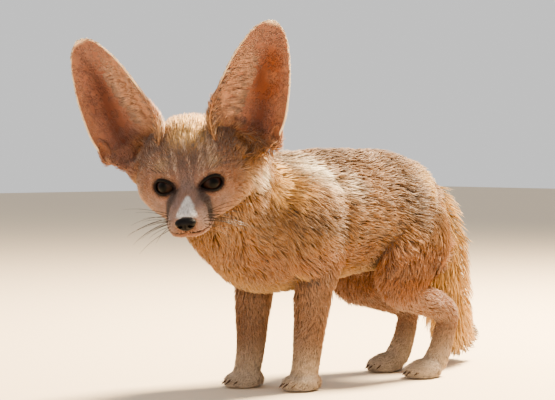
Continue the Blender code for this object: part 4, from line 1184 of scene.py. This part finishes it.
def drawn_together(roots, tips, clump, fringe, draw):
    """Draws the tips of neighbouring tufts together into locks, most of all in the ears' fringe."""
    centres = draw.choice(len(roots), max(1, len(roots) // clump), replace=False)
    tree = KDTree(len(centres))
    for number, centre in enumerate(centres):
        tree.insert(roots[centre], number)
    tree.balance()
    nearest = centres[[tree.find(root)[1] for root in roots]]
    pull = (draw.uniform(0.12, 0.42, len(roots)) + 0.38 * np.clip(fringe, 0, 1))[:, None]
    lock_tone = draw.normal(0, 0.05, len(roots))
    return tips + pull * (tips[nearest] - tips), 1 + lock_tone[nearest]


def tuft_colours(coat, at, tone, stations, draw):
    """Colours from root to tip: shaded at the root, paler or dark-ticked at the tip."""
    count = len(tone)
    base = at(coat.colour) * tone[:, None]
    fringe = at(coat.fringe)
    base = mixed(base, "ear_hair", 0.9 * np.clip(2.0 * fringe, 0, 1) * (draw.uniform(0, 1, count) < 0.85))
    ticked = draw.uniform(0, 1, count) < at(coat.ticks)
    pale = (draw.uniform(0, 1, count) < at(coat.pale)) & ~ticked
    base = np.where(pale[:, None], mixed(base, "ash", np.full(count, 0.70)), base)
    tip = base * 1.22
    dark = mixed(base, "tick", np.full(count, 0.72))
    tip = np.where(ticked[:, None], dark, tip)
    belly = np.where(ticked[:, None], mixed(base, "tick", np.full(count, 0.30)), base)
    root = base * (0.80 + 0.15 * at(coat.ear))[:, None]
    along = [root] + [belly] * 3
    if stations == 8:
        near = np.where(ticked[:, None], mixed(base, "tick", np.full(count, 0.60)), mixed(base, "white", np.full(count, 0.10)))
        along += [near] * 3
    along.append(tip)
    return np.clip(np.stack(along, axis=1), 0.0, 1.0)


# Materials


def add_node(tree, kind, settings=None, links=None):
    """Adds a node with its settings and the sockets that feed its inputs."""
    node = tree.nodes.new(kind)
    for key, value in (settings or {}).items():
        if isinstance(key, str) and hasattr(node, key):
            setattr(node, key, value)
        else:
            node.inputs[key].default_value = value
    for key, socket in (links or {}).items():
        tree.links.new(socket, node.inputs[key])
    return node


def new_material(name, **sockets):
    """A material with its shader's plain sockets set, and its node tree and shader."""
    made = bpy.data.materials.new(name)
    made.use_nodes = True
    shader = made.node_tree.nodes["Principled BSDF"]
    for key, value in sockets.items():
        shader.inputs[key.replace("_", " ")].default_value = value
    return made, made.node_tree, shader


def ramp(tree, factor, stops):
    """A colour ramp through places and hex colours."""
    node = add_node(tree, "ShaderNodeValToRGB", links={"Fac": factor})
    points = node.color_ramp.elements
    while len(points) < len(stops):
        points.new(0.5)
    for point, (place, colour) in zip(points, stops):
        point.position = place
        point.color = linear(colour)
    return node.outputs["Color"]


def fur_material():
    """Keratin hair: matt along its length, with a soft sheen."""
    made, tree, shader = new_material(
        "fennec_hair", Roughness=0.62, Specular_IOR_Level=0.28, Sheen_Weight=0.25, Sheen_Roughness=0.4
    )
    painted = add_node(tree, "ShaderNodeAttribute", {"attribute_name": "coat"})
    place = add_node(tree, "ShaderNodeTexCoord")
    # Hair differs a little in tone over every few millimetres
    mottle = add_node(tree, "ShaderNodeTexNoise", {"Scale": 260.0, "Detail": 2.0}, {"Vector": place.outputs["Object"]})
    tone = ramp(tree, mottle.outputs["Fac"], [(0.30, "#DCDCDC"), (0.70, "#FFFFFF")])
    blend = add_node(tree, "ShaderNodeMix", {"data_type": "RGBA", "blend_type": "MULTIPLY"})
    blend.inputs["Factor"].default_value = 1.0
    tree.links.new(painted.outputs["Color"], blend.inputs[6])
    tree.links.new(tone, blend.inputs[7])
    tree.links.new(blend.outputs[2], shader.inputs["Base Color"])
    return made


def skin_material():
    """Skin under the coat: the coat's own colours, with the fine grain of close short hair."""
    made, tree, shader = new_material(
        "fennec_skin", Roughness=0.68, Specular_IOR_Level=0.25, Subsurface_Weight=0.15, Subsurface_Scale=0.004
    )
    shader.inputs["Subsurface Radius"].default_value = (1.0, 0.45, 0.25)
    painted = add_node(tree, "ShaderNodeAttribute", {"attribute_name": "coat"})
    place = add_node(tree, "ShaderNodeTexCoord")
    # Short hair shows as grain of about a third of a millimetre
    grain = add_node(tree, "ShaderNodeTexNoise", {"Scale": 1900.0, "Detail": 3.0}, {"Vector": place.outputs["Object"]})
    tone = ramp(tree, grain.outputs["Fac"], [(0.30, "#C8C8C8"), (0.70, "#FFFFFF")])
    blend = add_node(tree, "ShaderNodeMix", {"data_type": "RGBA", "blend_type": "MULTIPLY"})
    blend.inputs["Factor"].default_value = 1.0
    tree.links.new(painted.outputs["Color"], blend.inputs[6])
    tree.links.new(tone, blend.inputs[7])
    tree.links.new(blend.outputs[2], shader.inputs["Base Color"])
    rise = add_node(tree, "ShaderNodeBump", {"Strength": 0.4, "Distance": 0.0004}, {"Height": grain.outputs["Fac"]})
    tree.links.new(rise.outputs["Normal"], shader.inputs["Normal"])
    return made


def keep(obj, material, slot, *nodes):
    """Finishes a piece: material, smooth shading, the body it rides on and the nodes it replaces."""
    obj.data.materials.clear()
    obj.data.materials.append(material)
    obj.data.shade_smooth()
    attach(obj, "root")
    if nodes:
        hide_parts(*nodes)
    return obj


def eye_material():
    """Moist eye: a clear wet cornea over a brown-black iris with a darker round pupil."""
    made, tree, shader = new_material(
        "moist_eye", Roughness=0.4, Specular_IOR_Level=0.12, Coat_Weight=0.13, Coat_Roughness=0.06, Coat_IOR=1.36
    )
    gaze = add_node(tree, "ShaderNodeUVMap", {"uv_map": "gaze"})
    centred = add_node(
        tree, "ShaderNodeMapping", {"Location": (-0.5, -0.5, 0.0)}, {"Vector": gaze.outputs["UV"]}
    )
    away = add_node(tree, "ShaderNodeVectorMath", {"operation": "LENGTH"}, {0: centred.outputs["Vector"]})
    streaks = add_node(tree, "ShaderNodeTexNoise", {"Scale": 26.0, "Detail": 3.0}, {"Vector": centred.outputs["Vector"]})
    iris = ramp(tree, away.outputs["Value"], [
        (0.00, "#040302"), (0.15, "#050403"), (0.19, "#26120B"), (0.30, "#331A0F"), (0.36, "#0C0705"), (0.40, "#120C0A"),
    ])
    tone = ramp(tree, streaks.outputs["Fac"], [(0.35, "#A0A0A0"), (0.65, "#FFFFFF")])
    blend = add_node(tree, "ShaderNodeMix", {"data_type": "RGBA", "blend_type": "MULTIPLY"})
    blend.inputs["Factor"].default_value = 1.0
    tree.links.new(iris, blend.inputs[6])
    tree.links.new(tone, blend.inputs[7])
    tree.links.new(blend.outputs[2], shader.inputs["Base Color"])
    return made


def dark_skin_material(name, colour, scale, depth, rough):
    """Bare dark skin, moist and finely pebbled, as on the nose pad, lips and rims of the lids."""
    made, tree, shader = new_material(name, Roughness=rough, Specular_IOR_Level=0.22)
    place = add_node(tree, "ShaderNodeTexCoord")
    pebbles = add_node(tree, "ShaderNodeTexVoronoi", {"Scale": scale}, {"Vector": place.outputs["Object"]})
    # Darker towards the edges of the pebbles: painted shade in the grooves between them
    tone = ramp(tree, pebbles.outputs["Distance"], [(0.0, colour), (0.8, "#050404")])
    tree.links.new(tone, shader.inputs["Base Color"])
    rise = add_node(
        tree, "ShaderNodeBump", {"Strength": 0.6, "Distance": depth, "invert": True}, {"Height": pebbles.outputs["Distance"]}
    )
    tree.links.new(rise.outputs["Normal"], shader.inputs["Normal"])
    return made


def strand_tubes(name, strands, sides=5):
    """Thin tapering tubes along chains of points with a half width at each, as one mesh."""
    points, faces = [], []
    for chain, widths in strands:
        first = len(points)
        chain = np.array(chain, float)
        along = unit(np.gradient(chain, axis=0))
        side = unit(np.cross(along, np.array([0.13, 0.21, 0.97])))
        over = np.cross(along, side)
        for centre, u, v, wide in zip(chain, side, over, widths):
            for j in range(sides):
                angle = 2 * math.pi * j / sides
                points.append(centre + (u * math.cos(angle) + v * math.sin(angle)) * wide)
        points += [chain[0] - along[0] * widths[0], chain[-1] + along[-1] * widths[-1]]
        faces += [tuple(first + k for k in face) for face in tube_faces(len(chain), sides)]
    return closed_mesh(name, points, faces)


# Operators


class FennecShape(bpy.types.PropertyGroup):
    """Sizes that a user may change."""

    density: FloatProperty(
        name="Coat density", description="How many tufts grow, as a share of the full coat",
        default=1.0, min=0.05, max=1.0, subtype="FACTOR",
    )
    whisker_length: FloatProperty(
        name="Whiskers", description="Length of the longest whiskers", default=0.044, min=0.0, unit="LENGTH",
    )


class FennecColours(bpy.types.PropertyGroup):
    """Colours of the bare pieces."""

    nose: FloatVectorProperty(
        name="Nose pad", description="Colour of the nose pad", subtype="COLOR", size=4, min=0, max=1,
        default=linear("#140F0E"),
    )


class FENNEC_OT_skin(bpy.types.Operator):
    """Makes the one skin of head, ears, body, legs and tail that replaces the flesh solids"""

    bl_idname = "fennec.skin"
    bl_label = "Skin"

    def execute(self, context):
        skin = body_skin()
        outwards(skin)
        combine(skin, [head_skin()], "UNION")
        largest_only(skin)
        skin.name = "skin"
        skin.data.name = "skin"
        unwrap(skin)
        keep(skin, skin_material(), "sandy_fur", *FLESH)
        coat = Coat(skin)
        # The skin is painted a tenth darker than the coat, except inside the ears, for a darker undercoat and painted
        # shade under the hair
        skin_colours = coat.colour * np.where(coat.inside & (coat.ear > 0.5), 1.0, 0.9)[:, None]
        skin_colours = mixed(skin_colours, "orbit", np.clip(coat.bare * (coat.ear < 0.2), 0, 1))
        paint(skin, skin_colours)
        COAT["now"] = coat
        return {"FINISHED"}


COAT = {}


def largest_only(obj):
    """Keeps only the largest closed surface, as triangles."""
    mesh = bmesh.new()
    mesh.from_mesh(obj.data)
    bmesh.ops.triangulate(mesh, faces=mesh.faces)
    unseen, islands = set(mesh.faces), []
    while unseen:
        stack, island = [unseen.pop()], []
        while stack:
            face = stack.pop()
            island.append(face)
            for edge in face.edges:
                near = set(edge.link_faces) & unseen if len(edge.link_faces) == 2 else ()
                unseen.difference_update(near)
                stack += near
        islands.append(island)
    islands.sort(key=len)
    for island in islands[:-1]:
        bmesh.ops.delete(mesh, geom=island, context="FACES")
    bmesh.ops.delete(mesh, geom=[v for v in mesh.verts if not v.link_faces], context="VERTS")
    mesh.to_mesh(obj.data)
    mesh.free()


class FENNEC_OT_coat(bpy.types.Operator):
    """Grows the coat of solid hair tufts on every side of the skin"""

    bl_idname = "fennec.coat"
    bl_label = "Coat"

    def execute(self, context):
        coat = COAT["now"]
        skin = bpy.data.objects["skin"]
        corners, uv = triangles_of(skin)
        hair = fur_material()
        draw = np.random.default_rng(SEED)
        first = corners[:, 0]
        ear = coat.ear[first] > 0.5
        head = (coat.head[first] > 0.5) & ~ear
        kind = coat.kind[first]
        leg = (kind == 1) & (coat.points[first, 2] < 92) & ~ear & ~head
        tail = (kind == 2) & ~ear & ~head
        body = ~(ear | head | leg | tail)
        thin = context.scene.fennec_shape.density
        stretches = [
            ("trunk_coat", body, True, 22, "sandy_fur"),
            ("tail_coat", tail, True, 12, "sandy_fur"),
            ("leg_coat", leg, False, 0, "pale_fur"),
            ("head_coat", head, False, 9, "pale_fur"),
            ("ear_coat", ear, False, 16, "ear_skin"),
        ]
        for name, mask, long, clump, slot in stretches:
            grown = grow(name, coat, corners, uv, np.where(mask)[0], thin, draw, long, clump, hair, 190000)
            print("GROWN", name, sum(len(piece.data.polygons) for piece in grown))
        return {"FINISHED"}


class FENNEC_OT_eyes(bpy.types.Operator):
    """Makes both eyeballs with their corneas, and the dark rims of their lids"""

    bl_idname = "fennec.eyes"
    bl_label = "Eyes"

    def execute(self, context):
        wet = eye_material()
        rims = dark_skin_material("lid_rim_skin", "#120B08", 3000.0, 0.0001, 0.6)
        for side, across in SIDES.items():
            axes = HEAD @ eye_axes(across)
            ball = blob("eyeball_" + side, (0, 0, 0), (EYE_RADIUS,) * 3, axes, segments=64, rings=48)
            local = carried(points_of(ball), axes.inverted())
            bulge = 0.55 * np.clip(1 - (local[:, 0] ** 2 + local[:, 1] ** 2) / 42, 0, 1) * (local[:, 2] > 0)
            local += unit(local) * bulge[:, None]
            ball.data.vertices.foreach_set("co", ((carried(local, axes) + np.array(SHIFT)) * MM).ravel())
            flat = ball.data.uv_layers.new(name="gaze")
            ids = np.empty(len(ball.data.loops), int)
            ball.data.loops.foreach_get("vertex_index", ids)
            flat.data.foreach_set("uv", (local[ids, :2] / (2 * EYE_RADIUS) + 0.5).ravel())
            for spare in [layer for layer in ball.data.uv_layers if layer.name != "gaze"]:
                ball.data.uv_layers.remove(spare)
            keep(ball, wet, "eye", "eye_" + side)
            keep(lid_rim(side, across), rims, "nose_skin")
        return {"FINISHED"}


def lid_rim(side, across):
    """The dark bare rim round the lids' opening."""
    outline = lid_outline(60)
    sides = 10
    points, faces = [], []
    place = HEAD @ eye_axes(across)
    for j, (x, y) in enumerate(outline):
        x, y = x * 1.0, y * 1.0
        before, after = Vector(outline[j - 1]), Vector(outline[(j + 1) % len(outline)])
        tangent = (after - before).normalized()
        outward = Vector((tangent.y, -tangent.x))
        height = math.sqrt(max(1.0, 11.45**2 - x * x - y * y))
        centre = Vector((x, y, height))
        out3 = Vector((outward.x, outward.y, 0))
        radial = centre.normalized()
        out3 = (out3 - radial * out3.dot(radial)).normalized()
        for k in range(sides):
            angle = 2 * math.pi * k / sides
            points.append(centre + out3 * 1.25 * math.cos(angle) + radial * 0.70 * math.sin(angle))
    count = len(outline)
    for j in range(count):
        for k in range(sides):
            a, b = j * sides + k, j * sides + (k + 1) % sides
            c, d = ((j + 1) % count) * sides + (k + 1) % sides, ((j + 1) % count) * sides + k
            faces.append((a, b, c, d))
    return closed_mesh("lid_rim_" + side, points, faces, place)


class FENNEC_OT_nose(bpy.types.Operator):
    """Makes the nose pad with its nostrils and groove"""

    bl_idname = "fennec.nose"
    bl_label = "Nose pad"

    def execute(self, context):
        pad = wedge(blob("nose_pad", NOSE_CENTRE, NOSE_HALF, HEAD, segments=72, rings=48), NOSE_HALF.z)
        cutters = []
        for across in (1, -1):
            centre = NOSE_CENTRE + Vector((across * 3.7, -4.6, -0.6))
            turn = Matrix.Rotation(across * 0.5, 3, "Y")
            cutters.append(blob("nostril", centre, (2.0, 2.6, 1.2), HEAD, turn))
            slit = NOSE_CENTRE + Vector((across * 6.0, -3.2, -1.6))
            cutters.append(blob("slit", slit, (2.2, 2.4, 0.6), HEAD, turn))
        cutters.append(blob("groove", NOSE_CENTRE + Vector((0, -5.6, -3.0)), (0.5, 1.4, 4.5), HEAD))
        combine(pad, cutters, "DIFFERENCE")
        black = dark_skin_material("nose_leather", context.scene.fennec_colours.nose, 1700.0, 0.0002, 0.42)
        keep(pad, black, "nose_skin", "nose")
        return {"FINISHED"}


class FENNEC_OT_lips(bpy.types.Operator):
    """Makes the dark line of the lips"""

    bl_idname = "fennec.lips"
    bl_label = "Lips"

    def execute(self, context):
        line = mouth_tube("lip_line", -0.45, 0.0, (0.9, 0.5, 0.5), 80, 8)
        dark = dark_skin_material("lip_skin", "#6E4636", 2600.0, 0.0001, 0.6)
        keep(line, dark, "nose_skin")
        return {"FINISHED"}


class FENNEC_OT_whiskers(bpy.types.Operator):
    """Makes the whiskers of the muzzle and the few above the eyes"""

    bl_idname = "fennec.whiskers"
    bl_label = "Whiskers"

    def execute(self, context):
        draw = np.random.default_rng(SEED + 5)
        longest = context.scene.fennec_shape.whisker_length / MM
        strands = []
        for across in SIDES.values():
            for row in range(4):
                for number in range(4):
                    root = Vector((across * (12.6 + 1.3 * number), -37 + 5.2 * number, -14.5 - 2.2 * row))
                    start = Vector((across, -0.30 + 0.10 * number, 0.34 - 0.22 * row)).normalized()
                    turn = Vector((-0.25 * across, 1.05, -0.95 + 0.05 * row))
                    length = longest * draw.uniform(0.62, 1.0) * (0.72 + 0.09 * number)
                    strands.append(whisker(root, start, turn, length, draw))
            for number in range(3):
                root = Vector((across * (17 + 3 * number), -5 + number, 12))
                start = Vector((across * 0.5, -0.4, 0.8)).normalized()
                strands.append(whisker(root, start, Vector((0.5 * across, 0.6, 0.1)), longest * 0.4, draw))
        made, tree, shader = new_material("whisker_keratin", Roughness=0.35, Specular_IOR_Level=0.5)
        shader.inputs["Base Color"].default_value = linear("#2A1C14")
        keep(strand_tubes("whiskers", strands), made, "nose_skin")
        return {"FINISHED"}


def whisker(root, start, turn, length, draw):
    """One long hair that leaves the muzzle sideways and curves back and down."""
    sway = Vector(draw.normal(0, 0.08, 3))
    steps = 10
    chain = []
    for k in range(steps):
        t = k / (steps - 1)
        chain.append(HEAD @ (root + (start + sway) * length * (t - 0.02) + turn * length * 0.42 * t * t))
    return chain, [0.23 * (1 - 0.85 * k / (steps - 1)) + 0.02 for k in range(steps)]


class FENNEC_OT_claws(bpy.types.Operator):
    """Makes the claws of all four paws"""

    bl_idname = "fennec.claws"
    bl_label = "Claws"

    def execute(self, context):
        strands = []
        for foot, length in FEET:
            for centre, turn in toe_places(foot, length):
                chain, widths = [], []
                for k in range(7):
                    t = k / 6
                    place = Vector((0, -6.0 - 7.5 * t, 1.2 - 3.2 * t * t))
                    chain.append(centre + turn @ place)
                    widths.append(1.15 * (1 - t) ** 0.7 + 0.12)
                strands.append((chain, widths))
        made, tree, shader = new_material("claw_horn", Roughness=0.3, Specular_IOR_Level=0.5)
        shader.inputs["Base Color"].default_value = linear("#4A372A")
        keep(strand_tubes("claws", strands, 8), made, "nose_skin")
        return {"FINISHED"}


class FENNEC_OT_stage(bpy.types.Operator):
    """Sets the floor, the soft lights and the camera"""

    bl_idname = "fennec.stage"
    bl_label = "Stage"

    def execute(self, context):
        deselect()
        bpy.ops.mesh.primitive_plane_add(size=12.0)
        floor = context.active_object
        floor.name = "floor"
        paper, tree, shader = new_material("stage_paper", Roughness=0.9)
        shader.inputs["Base Color"].default_value = linear("#DCCBB3")
        floor.data.materials.append(paper)
        world = bpy.data.worlds.new("studio")
        context.scene.world = world
        world.use_nodes = True
        sky = world.node_tree.nodes["Background"]
        sky.inputs["Color"].default_value = linear("#F0F0F0")
        sky.inputs["Strength"].default_value = 0.76
        middle = Vector(TO_WORLD @ Vector((10, -60, 150)))
        lamp("key", middle, Vector((0.05, 1.0, 1.25)), 0.45, 190, "#FFEBCB")
        lamp("fill", middle, Vector((1.1, -1.5, 0.10)), 1.4, 18, "#FFE2C8")
        lamp("side", middle, Vector((-1.3, -0.9, 0.9)), 1.2, 4, "#EEF2FF")
        add_camera()
        context.scene.view_settings.look = "AgX - Medium High Contrast"
        return {"FINISHED"}


def lamp(name, aim, away, size, power, colour):
    """A soft square lamp that looks at a point from the given offset."""
    bpy.ops.object.light_add(type="AREA", location=aim + away)
    obj = bpy.context.active_object
    obj.name = name
    obj.data.size = size
    obj.data.energy = power
    obj.data.color = linear(colour)[:3]
    obj.rotation_euler = (-away).to_track_quat("-Z", "Y").to_euler()


def add_camera():
    """The photograph's view: from the fox's front left, level with its back."""
    azimuth = math.radians(50)
    back = Vector((math.sin(azimuth), -math.cos(azimuth), 0))
    right = Vector((math.cos(azimuth), math.sin(azimuth), 0))
    up = Vector((0, 0, 1))
    pitch = math.atan(50 / 1850)
    toward = back * math.cos(pitch) + up * math.sin(pitch)
    over = up * math.cos(pitch) - back * math.sin(pitch)
    bpy.ops.object.camera_add()
    camera = bpy.context.active_object
    camera.name = "camera"
    camera.data.lens = 120
    camera.data.sensor_width = 36
    camera.data.clip_end = 50
    place = Matrix((right, over, toward)).transposed().to_4x4()
    place.translation = TO_WORLD @ (back * 1545 - right * 58.4 + up * 193)
    camera.matrix_world = place
    bpy.context.scene.camera = camera


class FENNEC_PT_panel(bpy.types.Panel):
    """Lists the pieces of the fox in the order in which they are made"""

    bl_label = "Fennec fox"
    bl_idname = "FENNEC_PT_panel"
    bl_space_type = "VIEW_3D"
    bl_region_type = "UI"
    bl_category = "Fennec fox"

    def draw(self, context):
        self.layout.prop(context.scene.fennec_shape, "density")
        self.layout.prop(context.scene.fennec_shape, "whisker_length")
        self.layout.prop(context.scene.fennec_colours, "nose")
        for operator in PIECES:
            self.layout.operator(operator.bl_idname)


PIECES = [
    FENNEC_OT_skin,
    FENNEC_OT_coat,
    FENNEC_OT_eyes,
    FENNEC_OT_nose,
    FENNEC_OT_lips,
    FENNEC_OT_whiskers,
    FENNEC_OT_claws,
    FENNEC_OT_stage,
]
CLASSES = [FennecShape, FennecColours, *PIECES, FENNEC_PT_panel]


def register():
    for each in CLASSES:
        bpy.utils.register_class(each)
    bpy.types.Scene.fennec_shape = PointerProperty(type=FennecShape)
    bpy.types.Scene.fennec_colours = PointerProperty(type=FennecColours)


def unregister():
    del bpy.types.Scene.fennec_colours
    del bpy.types.Scene.fennec_shape
    for each in reversed(CLASSES):
        bpy.utils.unregister_class(each)


def main():
    register()
    bpy.ops.fennec.skin()
    bpy.ops.fennec.coat()
    bpy.ops.fennec.eyes()
    bpy.ops.fennec.nose()
    bpy.ops.fennec.lips()
    bpy.ops.fennec.whiskers()
    bpy.ops.fennec.claws()
    bpy.ops.fennec.stage()


if __name__ == "__main__":
    main()
